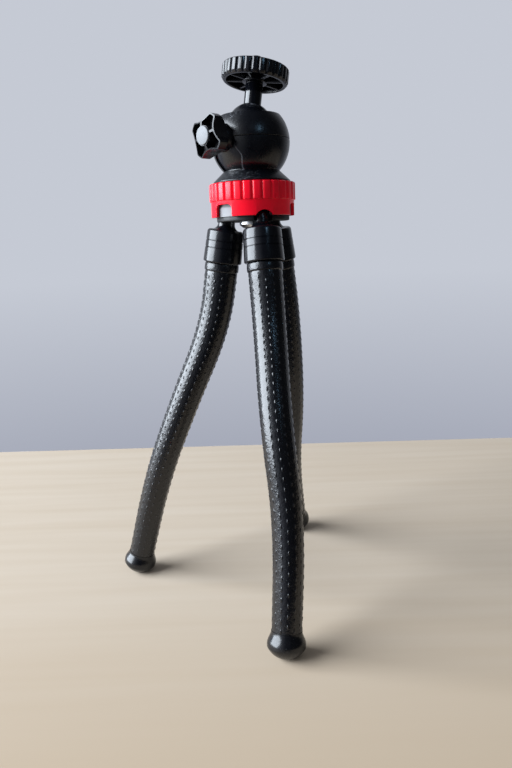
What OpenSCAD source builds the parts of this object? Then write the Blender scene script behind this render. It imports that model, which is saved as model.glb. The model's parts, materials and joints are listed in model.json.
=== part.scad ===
// Flexible leg tripod with a ball head and a turning lock ring.
// Millimetres, +Z up, standing on z = 0 with the origin under the middle of its footprint.
// The front is -Y. Azimuths are measured from the front towards +X.

/* [Stance] */
// Azimuth of the front leg's hinge, with the other two legs a third of a turn apart
leg_az = 16; // [0:1:30]
// Lean of every shoulder from the vertical
shoulder_lean = 9.5; // [5:0.5:12]
// Lean of the front leg's second, third and fourth links
front_lean = [30, 16, 15]; // [12:0.5:32]
// Turn of those links about the vertical, from the hinge's azimuth
front_turn = [-13.5, 4.5, -30]; // [-35:0.5:35]
// Lean of the left leg's second and third links
left_lean = [25, 22.5]; // [12:0.5:30]
// Turn of the left leg's second, third and fourth links
left_turn = [6, 5.5, 0]; // [-35:0.5:35]
// Lean of the rear leg's second and third links
rear_lean = [8.5, 24]; // [6:0.5:26]
// Turn of the rear leg's second, third and fourth links
rear_turn = [27, 49, 32]; // [0:0.5:55]

/* [Legs] */
// Radius of the circle of hinge pins
hinge_r = 12.5; // [12:0.1:13]
// Distance from a hinge pin to the lower edge of its shoulder
shoulder_reach = 22; // [21.6:0.1:25]
// Height of the shoulder's round body
shoulder_h = 15.4; // [14:0.1:16]
// Radius of the shoulder at its top
shoulder_top_r = 8.7; // [7:0.1:9]
// Radius of the shoulder at its lower edge
shoulder_low_r = 9.25; // [8.8:0.05:9.6]
// Radius of the rounding at the shoulder's lower edge
shoulder_edge = 1; // [0.4:0.1:1.5]
// Radius of the round neck between shoulder and hinge eye
neck_r = 4; // [3:0.1:4.3]
// Radius of the hinge eye
eye_r = 4.2; // [3:0.1:4.5]
// Radius of the hollow between neck and shoulder
neck_fillet = 3.2; // [0.5:0.1:3.4]
// Radius of a hinge pin
pin_r = 1.5; // [1:0.1:2]
// Length of sleeve from the shoulder to the first bend
first_link = 31.4; // [26:0.1:40]
// Length of the second and third links, from bend to bend
link = 44; // [40:0.5:52]
// Length of the fourth link, from its bend to the foot's centre
last_link = 51; // [46:0.5:60]
// Radius of the sleeve under its collar
sleeve_top_r = 7.9; // [7.6:0.05:8.2]
// Radius of the sleeve where it meets the foot's centre
sleeve_low_r = 6.55; // [6.3:0.05:7]
// Wall of the sleeve
sleeve_wall = 2; // [1.2:0.1:2.1]
// Radius of the plain collar at the sleeve's top
sleeve_collar_r = 8.3; // [8:0.05:8.8]
// Height of that collar
sleeve_collar_h = 4; // [2:0.1:6]
// Radius of the foot's round wall
foot_r = 8.4; // [8:0.1:9]
// Height of that wall above the foot's centre
foot_wall = 2.4; // [1.8:0.1:3]
// Rounding of the foot's upper edge
foot_edge = 2.2; // [1.8:0.1:2.5]
// Radius of the foot's domed sole
sole_r = 9.5; // [9.2:0.1:12]
// How far up the leg from the foot's centre the dome's centre lies
sole_rise = 3.9; // [3:0.1:4.2]
// Depth of the flat under each foot
foot_flat = 0.4; // [0.2:0.05:1]

/* [Spine] */
// Radius of the ball at each bend
spine_ball_r = 2.5; // [2.2:0.05:2.6]
// Wall of the socket round each ball
spine_socket_wall = 0.9; // [0.6:0.05:1]
// Radius of the spine's rod
spine_rod_r = 2.4; // [1.6:0.05:2.5]
// Radius of the neck behind each ball
spine_neck_r = 1.2; // [0.9:0.05:1.3]
// Half angle of the opening in each socket
spine_open = 76; // [70:1:78]
// Length of the thick middle of a link
spine_barrel = 22; // [10:0.5:24]

/* [Hub] */
// Outer radius of the lock ring's fluted band
ring_r = 20; // [19.8:0.1:24]
// Height of the fluted band
ring_band_h = 7.9; // [7:0.1:12]
// Outer radius of the smooth skirt under the band
skirt_r = 19.4; // [19:0.1:19.6]
// Height of the skirt
skirt_h = 7; // [6.5:0.1:8]
// How far the skirt's lower edge lies under the hinge pins
skirt_drop = 1; // [0.5:0.1:1.5]
// Number of flutes on the band
ring_flutes = 28; // [12:1:40]
// Depth of each flute
ring_flute_d = 0.7; // [0.3:0.05:0.9]
// Width of the skirt's deep notches
deep_notch_w = 10; // [6:0.1:10.5]
// Height of the skirt's deep notches
deep_notch_h = 5.4; // [4.9:0.1:5.6]
// Radius of the deep notches' upper corners
deep_notch_edge = 2.2; // [1:0.1:2.6]
// Width of the skirt's shallow arches
arch_w = 8.2; // [8:0.1:10]
// Height of the skirt's shallow arches
arch_h = 2.4; // [2:0.1:3]
// Radius of the hub core inside the skirt
core_r = 17.6; // [16.8:0.1:18]
// Radius of the core's spigot inside the band
spigot_r = 15; // [13:0.1:15.5]
// Height of the core's ledge above the hinge pins
core_ledge = 8; // [7:0.1:9]
// How far the core reaches under the hinge pins
core_drop = 1; // [0.8:0.1:2]
// Radius of the bottom plate
plate_r = 17; // [15:0.1:17.5]
// Thickness of the bottom plate
plate_t = 2.1; // [1:0.1:2.3]
// Radius of the centre screw's head
screw_head_r = 6.5; // [4:0.1:6.8]
// Height of the centre screw's head
screw_head_h = 3; // [1.5:0.1:3.2]
// Radius of the centre screw's shank
screw_r = 2.5; // [1.5:0.1:3]
// Height of the conical collar under the head
collar_h = 4.8; // [3:0.1:8]
// Radius of the collar's lower edge
collar_low_r = 17.9; // [16.5:0.1:19]
// Radius of the collar's upper edge
collar_top_r = 13.5; // [13.2:0.1:15]

/* [Head] */
// Radius of the round housing
housing_r = 18; // [17.8:0.1:20]
// How far the centre of its round lies under the seam
housing_sink = 0.9; // [0.4:0.1:1.2]
// Height of the housing's seam above its base
housing_rise = 13.9; // [13.5:0.1:16]
// Radius of the housing at its base
housing_base_r = 12.9; // [12:0.1:13.2]
// Height of the housing's flat top above the seam
housing_top = 10.7; // [10.5:0.1:11.5]
// Radius of the ball
ball_r = 10.5; // [10.2:0.1:10.8]
// Height of the ball's centre above the seam
ball_rise = 5.8; // [5.5:0.1:6.2]
// Height of the bevel round the mouth where the ball shows
mouth_lip = 0.5; // [0.3:0.1:0.8]
// Width of that bevel
mouth_bevel = 1.3; // [0.8:0.1:2]
// Tilt of the post from the vertical
post_tilt = 9.5; // [0:0.5:20]
// Direction of that tilt, from +X towards +Y
post_tilt_az = 32; // [0:1:90]
// Radius of the post
post_r = 4; // [3.4:0.05:4.1]
// Distance from the ball's centre to the post's shoulder under the disc
post_reach = 19.3; // [16:0.1:26]
// Radius of the threaded camera stud
stud_r = 3.175; // [2.5:0.005:3.3]
// Height of the stud above the disc's pad
stud_h = 4.3; // [4:0.1:6]
// Bevel of the stud's tip
stud_bevel = 0.5; // [0.2:0.05:0.8]
// Outer radius of the seat ring under the ball
seat_r = 7.2; // [6:0.1:7.4]
// Inner radius of the seat ring
seat_bore_r = 4; // [2.5:0.1:5]

/* [Thumb disc] */
// Radius of the thumb disc
disc_r = 15.2; // [15:0.1:18]
// Height of the thumb disc
disc_h = 6.4; // [5:0.1:9]
// Thickness of the disc's top
disc_top_t = 2.2; // [1.8:0.1:3]
// Thickness of the disc's rim
disc_rim_t = 2.2; // [1.6:0.1:3]
// Radius of the disc's centre boss
disc_boss_r = 5.6; // [4.8:0.1:7]
// Number of ribs under the disc
disc_ribs = 8; // [4:1:12]
// Thickness of each rib
disc_rib_t = 1; // [0.6:0.1:2]
// Number of flutes on the disc's rim
disc_flutes = 28; // [12:1:36]
// Radius of each flute
disc_flute_r = 0.9; // [0.5:0.05:1.2]
// Outer radius of the rubber pad
pad_r = 13; // [10:0.1:13.2]
// Inner radius of the rubber pad
pad_bore_r = 7; // [5:0.1:9]
// Thickness of the rubber pad
pad_t = 1.3; // [1:0.1:1.5]
// How far the pad stands above the disc
pad_proud = 0.5; // [0.2:0.1:0.8]

/* [Clamp knob] */
// Azimuth of the knob
knob_az = -45; // [-60:1:-30]
// Radius of the knob's lobes
knob_r = 9.5; // [9:0.1:11]
// Depth of the knob along its axis
knob_depth = 8.8; // [7:0.1:11]
// How far the tips of the lobes lie behind the knob's face
knob_drop = 1.8; // [1:0.1:2.5]
// Radius of the knob's back
knob_back_r = 6.6; // [5:0.1:7]
// Number of lobes
knob_lobes = 4; // [3:1:6]
// Depth of the hollows between the lobes
knob_hollow = 3; // [1:0.1:3.2]
// Radius of the hollows between the lobes
knob_hollow_r = 10; // [8:0.1:12]
// Angle of the first hollow from the knob's horizontal
knob_phase = 15; // [0:1:45]
// Depth of the pockets in the knob's face
knob_pocket = 4.2; // [3:0.1:5]
// Thickness of the knob's rim and spokes
knob_rim = 0.9; // [0.6:0.1:1.4]
// Radius of the knob's silver disc
knob_disc_r = 3.9; // [3.5:0.1:4]
// Thickness of the silver disc
knob_disc_t = 1.4; // [1:0.1:2]
// Radius of the boss that carries the knob
boss_r = 6; // [5:0.1:6.4]
// Distance from the hub's axis to the boss's face
boss_reach = 19.6; // [18.8:0.1:22]
// Radius of the brake shoe
shoe_r = 2.6; // [2:0.1:2.8]
// Length of the brake shoe
shoe_len = 4.8; // [3:0.1:5.2]
// Distance from the hub's axis to the shoe's inner end
shoe_start = 8.3; // [8:0.1:8.6]
// Radius of the knob's screw
knob_screw_r = 2; // [1.4:0.1:2.2]

/* [Clearances] */
// Radial gap of a turning or sliding fit
running = 0.05; // [0.02:0.01:0.1]
// Gap between parts that move past each other
moving_gap = 0.3; // [0.2:0.05:0.4]
// Gap between parts that are fitted together
fitted = 0.1; // [0.02:0.01:0.15]

/* [Hidden] */
$fn = 48;
LEGS = ["front", "left", "rear"];
HEAD_NODES = ["camera_post", "thumb_disc", "disc_pad", "ball", "ball_seat", "socket_cap", "socket_body",
    "brake_shoe", "knob_screw", "clamp_knob", "knob_disc"];
HUB_NODES = ["head_collar", "lock_ring", "hub_core", "bottom_plate", "centre_screw", "hinge_pins"];
LEG_PIECES = ["shoulder", "sleeve", "spine_1", "spine_2", "spine_3", "spine_4", "foot"];
NODES = concat(HEAD_NODES, HUB_NODES, [for (leg = LEGS) for (piece = LEG_PIECES) str(leg, "_", piece)]);
node = "all";

black = [0.05, 0.05, 0.06];
rubber = [0.09, 0.09, 0.1];
red = [0.75, 0.02, 0.06];
grey = [0.6, 0.6, 0.62];
silver = [0.85, 0.85, 0.86];

// Margin by which a cutter passes the face it cuts
past = 1;

// Stance: the front leg sets the height of the hinges, and the last links of the others reach the floor
leans = [front_lean, left_lean, rear_lean];
turns = [front_turn, left_turn, rear_turn];
foot_z = sole_r - sole_rise * cos(front_lean[2]) - foot_flat;
upper_len = shoulder_reach + first_link;
upper_drop = upper_len * cos(shoulder_lean);
function middle_drop(leg) = link * (cos(leans[leg][0]) + cos(leans[leg][1]));
hinge_z = foot_z + upper_drop + middle_drop(0) + last_link * cos(front_lean[2]);
function last_lean(leg) = leg == 0
    ? front_lean[2]
    : acos((hinge_z - foot_z - upper_drop - middle_drop(leg)) / last_link);

function hinge_az(leg) = leg_az - 120 * leg;
function link_lean(leg, k) = k == 1 ? shoulder_lean : k == 4 ? last_lean(leg) : leans[leg][k - 2];
function link_az(leg, k) = hinge_az(leg) + (k == 1 ? 0 : turns[leg][k - 2]);
function out(az) = [sin(az), -cos(az), 0];
function heading(lean, az) = sin(lean) * out(az) - [0, 0, cos(lean)];
function link_dir(leg, k) = heading(link_lean(leg, k), link_az(leg, k));
function link_len(k) = k == 1 ? upper_len : k == 4 ? last_link : link;
// Joint 0 is the hinge, 1 to 3 are the bends and 4 is the foot's centre, all measured from the hub's axis
function hub_joint(leg, k) = k == 0
    ? hinge_r * out(hinge_az(leg)) + [0, 0, hinge_z]
    : hub_joint(leg, k - 1) + link_len(k) * link_dir(leg, k);

// The hub's axis stands off the origin so that the origin lies under the middle of the footprint
// A foot reaches furthest outwards where its wall meets its sole
sole_drop = sqrt(sole_r * sole_r - foot_r * foot_r) - sole_rise;
function foot_reach(leg, i) =
    let (tip = abs(link_dir(leg, 4)[i]))
    sole_drop * tip + foot_r * sqrt(1 - tip * tip);
function lowest(i) = min([for (leg = [0:2]) hub_joint(leg, 4)[i] - foot_reach(leg, i)]);
function highest(i) = max([for (leg = [0:2]) hub_joint(leg, 4)[i] + foot_reach(leg, i)]);
function middle(i) = (min(lowest(i), -ring_r) + max(highest(i), ring_r)) / 2;
hub_at = [-middle(0), -middle(1), 0];
function joint(leg, k) = hub_at + hub_joint(leg, k);

// Heights above the hinge pins
ring_bottom = -skirt_drop;
band_bottom = ring_bottom + skirt_h;
ring_top = band_bottom + ring_band_h;
core_bottom = -core_drop;
core_top = ring_top + fitted;
plate_bottom = core_bottom - plate_t;
housing_base = core_top + collar_h;
seam = housing_base + housing_rise;
ball_z = seam + ball_rise;

// Hub fits
slot_w = 2 * neck_r + 2 * moving_gap;
slot_inner = hinge_r - eye_r - 2 * moving_gap;
slot_top = eye_r + 2 * moving_gap;
pin_seat = 2.5;
pin_len = slot_w + 2 * pin_seat;
ring_bore_r = core_r + moving_gap;
ring_ledge_r = spigot_r + moving_gap;

// Sleeve: its radius falls evenly from the collar to the foot's centre
sleeve_len = first_link + 2 * link + last_link;
function sleeve_r(s) = sleeve_top_r + (sleeve_low_r - sleeve_top_r) * s / sleeve_len;
function bore_r(s) = sleeve_r(s) - sleeve_wall;
sleeve_gap = 0.3;
sleeve_stop = 4;
sleeve_step = 0.4;
sleeve_sides = 24;
bend_steps = 5;
sleeve_spigot_r = bore_r(0) - moving_gap;
sleeve_spigot_h = 5;
plug_depth = 4;
groove_d = 0.35;
groove_w = 0.5;
// Places of the two grooves, as shares of the shoulder's height from its top
groove_places = [0.34, 0.55];
function shoulder_r(down) =
    shoulder_top_r + (shoulder_low_r - shoulder_top_r) * down / (shoulder_h - shoulder_edge);

// Spine
spine_socket_r = spine_ball_r + running + spine_socket_wall;
spine_neck_h = 1.2 * spine_ball_r;
barrel_gap = 0.85;
function link_top(k) = k == 1 ? 0 : first_link + (k - 2) * link;
function barrel_r(k) = bore_r(link_top(k) + link_len(k) / 2) - barrel_gap;

// Head fits
cavity_r = ball_r + moving_gap;
mouth_z = housing_top - ball_rise - mouth_lip;
mouth_r = sqrt(cavity_r * cavity_r - mouth_z * mouth_z);
housing_flare = 2.2;
housing_foot_h = 0.4 * housing_rise;
screw_reach = 0.4 * housing_rise;
post_spigot_r = 0.75 * post_r;
post_spigot_start = 0.3 * ball_r;
stud_bore_r = stud_r + running;
shank_r = stud_bore_r - moving_gap;
disc_bottom = post_reach + fitted;
disc_top = disc_bottom + disc_h;
pad_top = disc_top + pad_proud;
seat_top = -sqrt(ball_r * ball_r - seat_r * seat_r);
seat_floor_t = 1.2;
seat_bottom = -ball_r - seat_floor_t;
lip_r = 14.4;
lip_w = 2;
lip_h = 2.2;
shoe_end = shoe_start + shoe_len;
shoe_room = 1;
knob_back = boss_reach + moving_gap;
knob_front = knob_back + knob_depth;
screw_grip = 0.6 * knob_depth;
knob_hub_r = knob_disc_r + knob_rim;
knob_slope = (knob_r - knob_hub_r) / knob_drop;

// Points and rings of the sleeve
function unit(v) = v / norm(v);
function flow(leg, k) = k == 1
    ? joint(leg, 1) - link_dir(leg, 1) * first_link / 2
    : (joint(leg, k - 1) + joint(leg, k)) / 2;
function flow_s(k) = k == 1 ? first_link / 2 : link_top(k) + link_len(k) / 2;
function curve(a, c, b, t) = (1 - t) * (1 - t) * a + 2 * t * (1 - t) * c + t * t * b;
function curve_dir(a, c, b, t) = unit((1 - t) * (c - a) + t * (b - c));
// One station is [point, direction, distance down the sleeve, outer radius]
function straight_station(leg, s, r) =
    [joint(leg, 1) - link_dir(leg, 1) * (first_link - s), link_dir(leg, 1), s, r];
function bend_stations(leg, k) = [
    for (i = [k == 1 ? 0 : 1:bend_steps])
        let (
            t = i / bend_steps,
            s = flow_s(k) + t * (flow_s(k + 1) - flow_s(k)),
            a = flow(leg, k),
            c = joint(leg, k),
            b = flow(leg, k + 1)
        )
        [curve(a, c, b, t), curve_dir(a, c, b, t), s, sleeve_r(s)]
];
function end_station(leg) =
    let (s = sleeve_len - sleeve_stop)
    [joint(leg, 4) - link_dir(leg, 4) * sleeve_stop, link_dir(leg, 4), s, sleeve_r(s)];
function stations(leg) = concat(
    [straight_station(leg, sleeve_gap, sleeve_collar_r)],
    [straight_station(leg, sleeve_collar_h, sleeve_collar_r)],
    [straight_station(leg, sleeve_collar_h + sleeve_step, sleeve_r(sleeve_collar_h))],
    bend_stations(leg, 1),
    bend_stations(leg, 2),
    bend_stations(leg, 3),
    [end_station(leg)]
);
function across(leg, dir) = unit(cross(cross(dir, [cos(hinge_az(leg)), sin(hinge_az(leg)), 0]), dir));
function ring_points(leg, station, r) =
    let (u = across(leg, station[1]), v = cross(station[1], u))
    [
        for (i = [0:sleeve_sides - 1])
            let (a = 360 * i / sleeve_sides)
            station[0] + r * (cos(a) * u + sin(a) * v)
    ];

// Places
module at_hub(z = 0) {
    translate(hub_at + [0, 0, hinge_z + z]) children();
}
// Origin at the hinge pin, with -Y outwards and X along the pin
module at_hinge(leg) {
    translate(joint(leg, 0)) rotate([0, 0, hinge_az(leg)]) children();
}
// Origin at the link's upper joint, with the link running down -Z
module on_link(leg, k) {
    translate(joint(leg, k - 1)) rotate([0, 0, link_az(leg, k)]) rotate([-link_lean(leg, k), 0, 0]) children();
}
// Origin at the ball's centre, with the post up +Z
module on_post() {
    at_hub(ball_z) rotate([0, 0, post_tilt_az]) rotate([0, post_tilt, 0]) children();
}
// Origin on the hub's axis, with the knob out along +Z and up along +Y
module at_knob() {
    at_hub(seam) rotate([0, 0, knob_az]) rotate([90, 0, 0]) children();
}
module round_about(count) {
    for (i = [0:count - 1]) rotate([0, 0, 360 * i / count]) children();
}
module tube(r, bore, h) {
    difference() {
        cylinder(r = r, h = h);
        translate([0, 0, -past]) cylinder(r = bore, h = h + 2 * past);
    }
}

// Head
module camera_post() {
    color(black) on_post() {
        translate([0, 0, post_spigot_start]) cylinder(r = post_spigot_r, h = post_reach - post_spigot_start);
        difference() {
            cylinder(r = post_r, h = post_reach);
            sphere(r = ball_r + fitted);
        }
        // The shank inside the disc is thinner than the stud, and the stud's tip is bevelled
        translate([0, 0, post_reach - past]) cylinder(r = shank_r, h = pad_top - post_reach + 2 * past);
        translate([0, 0, pad_top]) cylinder(r = stud_r, h = stud_h - stud_bevel);
        translate([0, 0, pad_top + stud_h - stud_bevel]) {
            cylinder(r1 = stud_r, r2 = stud_r - stud_bevel, h = stud_bevel);
        }
    }
}

module thumb_disc() {
    color(black) on_post() translate([0, 0, disc_bottom]) difference() {
        cylinder(r = disc_r, h = disc_h);
        translate([0, 0, -past]) cylinder(r = stud_bore_r, h = disc_h + 2 * past);
        difference() {
            translate([0, 0, -past]) {
                tube(r = disc_r - disc_rim_t, bore = disc_boss_r, h = disc_h - disc_top_t + past);
            }
            round_about(disc_ribs) translate([0, -disc_rib_t / 2, -2 * past]) {
                cube([disc_r, disc_rib_t, disc_h + past]);
            }
        }
        translate([0, 0, disc_h + pad_proud - pad_t]) {
            tube(r = pad_r + fitted, bore = pad_bore_r - fitted, h = pad_t);
        }
        round_about(disc_flutes) translate([disc_r + 0.4 * disc_flute_r, 0, -past]) {
            cylinder(r = disc_flute_r, h = disc_h + 2 * past, $fn = 24);
        }
    }
}

module disc_pad() {
    color(rubber) on_post() translate([0, 0, pad_top - pad_t]) tube(r = pad_r, bore = pad_bore_r, h = pad_t);
}

module ball() {
    color(black) on_post() difference() {
        sphere(r = ball_r);
        translate([0, 0, post_spigot_start - fitted]) cylinder(r = post_spigot_r + running, h = ball_r);
    }
}

module ball_seat() {
    color(silver) at_hub(ball_z) difference() {
        translate([0, 0, seat_bottom]) tube(r = seat_r, bore = seat_bore_r, h = seat_top - seat_bottom);
        sphere(r = ball_r + running);
    }
}

module housing_shape() {
    at_hub(seam) {
        translate([0, 0, -housing_sink]) sphere(r = housing_r);
        translate([0, 0, -housing_rise]) {
            cylinder(r1 = housing_base_r, r2 = housing_base_r + housing_flare, h = housing_foot_h);
        }
    }
}
module ball_cavity() {
    at_hub(ball_z) sphere(r = cavity_r);
}
module lip(gap) {
    at_hub(seam - past) tube(r = lip_r + gap, bore = lip_r - lip_w - gap, h = lip_h + gap + past);
}
module boss(gap) {
    start = shoe_start - gap;
    end = boss_reach + (gap > 0 ? past : 0);
    at_knob() translate([0, 0, start]) cylinder(r = boss_r + gap, h = end - start);
}

module socket_cap() {
    color(black) difference() {
        housing_shape();
        at_hub(seam - 2 * housing_r) cylinder(r = housing_r + past, h = 2 * housing_r + fitted);
        at_hub(seam + housing_top) cylinder(r = housing_r, h = housing_r);
        ball_cavity();
        lip(fitted);
        boss(fitted);
        at_hub(ball_z + mouth_z) cylinder(r1 = mouth_r, r2 = mouth_r + mouth_bevel, h = mouth_lip);
    }
}

module socket_body() {
    color(black) difference() {
        union() {
            difference() {
                housing_shape();
                at_hub(seam) cylinder(r = housing_r + past, h = housing_r + past);
                at_hub(housing_base - housing_r) cylinder(r = housing_r + past, h = housing_r);
            }
            lip(0);
            boss(0);
        }
        ball_cavity();
        at_hub(ball_z + seat_bottom - fitted) cylinder(r = seat_r + running, h = ball_r);
        at_hub(housing_base - past) cylinder(r = screw_r + fitted, h = past + screw_reach + moving_gap);
        at_knob() {
            cylinder(r = knob_screw_r + running, h = boss_reach + past);
            cylinder(r = shoe_r + running, h = shoe_end + shoe_room);
        }
    }
}

module brake_shoe() {
    color(silver) difference() {
        at_knob() translate([0, 0, shoe_start]) cylinder(r = shoe_r, h = shoe_len);
        at_hub(ball_z) sphere(r = ball_r + running);
    }
}

module knob_screw() {
    color(silver) at_knob() translate([0, 0, shoe_end + running]) {
        cylinder(r = knob_screw_r, h = knob_back + screw_grip - shoe_end - running);
    }
}

// Outline of the knob's lobes, drawn in by a given amount
module knob_outline(inset = 0) {
    difference() {
        circle(r = knob_r - inset);
        for (i = [0:knob_lobes - 1]) {
            rotate(knob_phase + 360 * i / knob_lobes) translate([knob_r - knob_hollow + knob_hollow_r, 0]) {
                circle(r = knob_hollow_r + inset);
            }
        }
    }
}
module knob_pockets() {
    linear_extrude(height = knob_pocket + past) difference() {
        knob_outline(knob_rim);
        circle(r = knob_hub_r);
        for (i = [0:knob_lobes - 1]) {
            rotate(knob_phase + 360 * i / knob_lobes) translate([0, -knob_rim / 2]) square([knob_r, knob_rim]);
        }
    }
}

module clamp_knob() {
    color(black) at_knob() translate([0, 0, knob_back]) difference() {
        intersection() {
            linear_extrude(height = knob_depth) knob_outline();
            cylinder(r1 = knob_back_r, r2 = knob_back_r + knob_depth, h = knob_depth);
            cylinder(r1 = knob_hub_r + knob_slope * knob_depth, r2 = knob_hub_r, h = knob_depth);
        }
        translate([0, 0, knob_depth - knob_pocket]) knob_pockets();
        translate([0, 0, knob_depth - knob_disc_t / 2]) cylinder(r = knob_disc_r + fitted, h = knob_disc_t);
        translate([0, 0, -past]) cylinder(r = knob_screw_r + fitted, h = screw_grip + past + fitted);
    }
}

module knob_disc() {
    color(silver) at_knob() translate([0, 0, knob_front - knob_disc_t / 2]) {
        cylinder(r = knob_disc_r, h = knob_disc_t);
    }
}

// Hub
module head_collar() {
    color(black) at_hub(core_top) difference() {
        cylinder(r1 = collar_low_r, r2 = collar_top_r, h = collar_h);
        translate([0, 0, -past]) cylinder(r = screw_r + fitted, h = collar_h + 2 * past);
    }
}

module deep_notch() {
    inner = deep_notch_w - 2 * deep_notch_edge;
    for (side = [-1, 1]) translate([side * inner / 2, 0, deep_notch_h - deep_notch_edge]) rotate([90, 0, 0]) {
        cylinder(r = deep_notch_edge, h = ring_r + past);
    }
    translate([-deep_notch_w / 2, -ring_r - past, -past]) {
        cube([deep_notch_w, ring_r + past, deep_notch_h - deep_notch_edge + past]);
    }
    translate([-inner / 2, -ring_r - past, 0]) cube([inner, ring_r + past, deep_notch_h]);
}
module shallow_arch() {
    // A circle through the arch's crown and its two feet
    r = (arch_w * arch_w / 4 + arch_h * arch_h) / (2 * arch_h);
    translate([0, 0, arch_h - r]) rotate([90, 0, 0]) cylinder(r = r, h = ring_r + past);
}

module lock_ring() {
    color(red) at_hub() difference() {
        union() {
            translate([0, 0, ring_bottom]) cylinder(r = skirt_r, h = skirt_h + past);
            translate([0, 0, band_bottom]) cylinder(r = ring_r, h = ring_band_h);
        }
        translate([0, 0, ring_bottom - past]) {
            cylinder(r = ring_bore_r, h = core_ledge + fitted - ring_bottom + past);
        }
        cylinder(r = ring_ledge_r, h = ring_top + past);
        round_about(ring_flutes) translate([ring_r, 0, band_bottom - past]) {
            cylinder(r = ring_flute_d, h = ring_band_h + 2 * past, $fn = 4);
        }
        for (leg = [0:2]) translate([0, 0, ring_bottom]) {
            rotate([0, 0, hinge_az(leg)]) shallow_arch();
            rotate([0, 0, hinge_az(leg) + 60]) deep_notch();
        }
    }
}

// Room for a neck to swing, from the slot's inner end outwards
module neck_slot(from, to) {
    translate([-slot_w / 2, -core_r - past, from]) cube([slot_w, core_r + past - slot_inner, to - from]);
}

module hub_core() {
    color(grey) difference() {
        at_hub() {
            translate([0, 0, core_bottom]) cylinder(r = core_r, h = core_ledge - core_bottom);
            cylinder(r = spigot_r, h = core_top);
        }
        at_hub(core_bottom - past) cylinder(r = screw_r + fitted, h = core_top - core_bottom + 2 * past);
        for (leg = [0:2]) {
            at_hub() rotate([0, 0, hinge_az(leg)]) neck_slot(core_bottom - past, slot_top);
            at_hinge(leg) rotate([0, 90, 0]) cylinder(r = pin_r + running, h = pin_len + fitted, center = true);
        }
    }
}

module bottom_plate() {
    color(black) difference() {
        at_hub(plate_bottom) cylinder(r = plate_r, h = plate_t);
        at_hub(plate_bottom - past) cylinder(r = screw_r + fitted, h = plate_t + 2 * past);
        for (leg = [0:2]) {
            at_hub() rotate([0, 0, hinge_az(leg)]) neck_slot(plate_bottom - past, core_bottom + past);
            at_hinge(leg) rotate([0, 90, 0]) {
                cylinder(r = pin_r + fitted, h = pin_len + 2 * fitted, center = true);
            }
        }
    }
}

module centre_screw() {
    color(silver) at_hub() {
        translate([0, 0, plate_bottom - past]) {
            cylinder(r = screw_r, h = housing_base + screw_reach - plate_bottom + past);
        }
        translate([0, 0, plate_bottom - screw_head_h / 2]) cylinder(r = screw_head_r, h = screw_head_h / 2);
        translate([0, 0, plate_bottom - screw_head_h]) {
            cylinder(r1 = 0.7 * screw_head_r, r2 = screw_head_r, h = screw_head_h / 2);
        }
    }
}

module hinge_pins() {
    color(silver) for (leg = [0:2]) {
        at_hinge(leg) rotate([0, 90, 0]) cylinder(r = pin_r, h = pin_len, center = true);
    }
}

// Legs
module round_groove(r, z) {
    rotate_extrude() translate([r - groove_d, z - groove_w / 2]) square([groove_d + past, groove_w]);
}

module shoulder(leg) {
    top = -(shoulder_reach - shoulder_h);
    low = -shoulder_reach;
    color(black) on_link(leg, 1) difference() {
        union() {
            rotate([0, 90, 0]) cylinder(r = eye_r, h = 2 * neck_r, center = true);
            translate([0, 0, top - past]) cylinder(r = neck_r, h = past - top);
            difference() {
                translate([0, 0, top - past]) cylinder(r = neck_r + neck_fillet, h = neck_fillet + past);
                translate([0, 0, top + neck_fillet]) rotate_extrude() {
                    translate([neck_r + neck_fillet, 0]) circle(r = neck_fillet);
                }
            }
            translate([0, 0, low + shoulder_edge]) {
                cylinder(r1 = shoulder_low_r, r2 = shoulder_top_r, h = shoulder_h - shoulder_edge);
            }
            translate([0, 0, low]) cylinder(r = shoulder_low_r - shoulder_edge, h = shoulder_edge + past);
            translate([0, 0, low + shoulder_edge]) rotate_extrude() {
                translate([shoulder_low_r - shoulder_edge, 0]) circle(r = shoulder_edge);
            }
            translate([0, 0, low - sleeve_spigot_h]) cylinder(r = sleeve_spigot_r, h = sleeve_spigot_h + past);
        }
        rotate([0, 90, 0]) cylinder(r = pin_r + running, h = 2 * neck_r + 2 * past, center = true);
        for (place = groove_places) {
            round_groove(r = shoulder_r(place * shoulder_h), z = top - place * shoulder_h);
        }
        translate([0, 0, low - sleeve_spigot_h - past]) {
            cylinder(r = spine_rod_r + fitted, h = sleeve_spigot_h + plug_depth + past + fitted);
        }
    }
}

module sleeve(leg) {
    line = stations(leg);
    count = len(line);
    outer = [for (station = line) ring_points(leg, station, station[3])];
    inner = [for (station = line) ring_points(leg, station, bore_r(station[2]))];
    points = [for (row = concat(outer, inner)) for (point = row) point];
    function at(row, i) = row * sleeve_sides + i % sleeve_sides;
    sides = [for (row = [0:count - 2]) for (i = [0:sleeve_sides - 1]) each [
        [at(row, i), at(row + 1, i), at(row, i + 1)],
        [at(row, i + 1), at(row + 1, i), at(row + 1, i + 1)],
        [at(count + row, i), at(count + row, i + 1), at(count + row + 1, i)],
        [at(count + row, i + 1), at(count + row + 1, i + 1), at(count + row + 1, i)]
    ]];
    ends = [for (i = [0:sleeve_sides - 1]) each [
        [at(0, i), at(0, i + 1), at(count, i)],
        [at(0, i + 1), at(count, i + 1), at(count, i)],
        [at(count - 1, i), at(2 * count - 1, i), at(count - 1, i + 1)],
        [at(count - 1, i + 1), at(2 * count - 1, i), at(2 * count - 1, i + 1)]
    ]];
    color(rubber) polyhedron(points = points, faces = concat(sides, ends));
}

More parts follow.
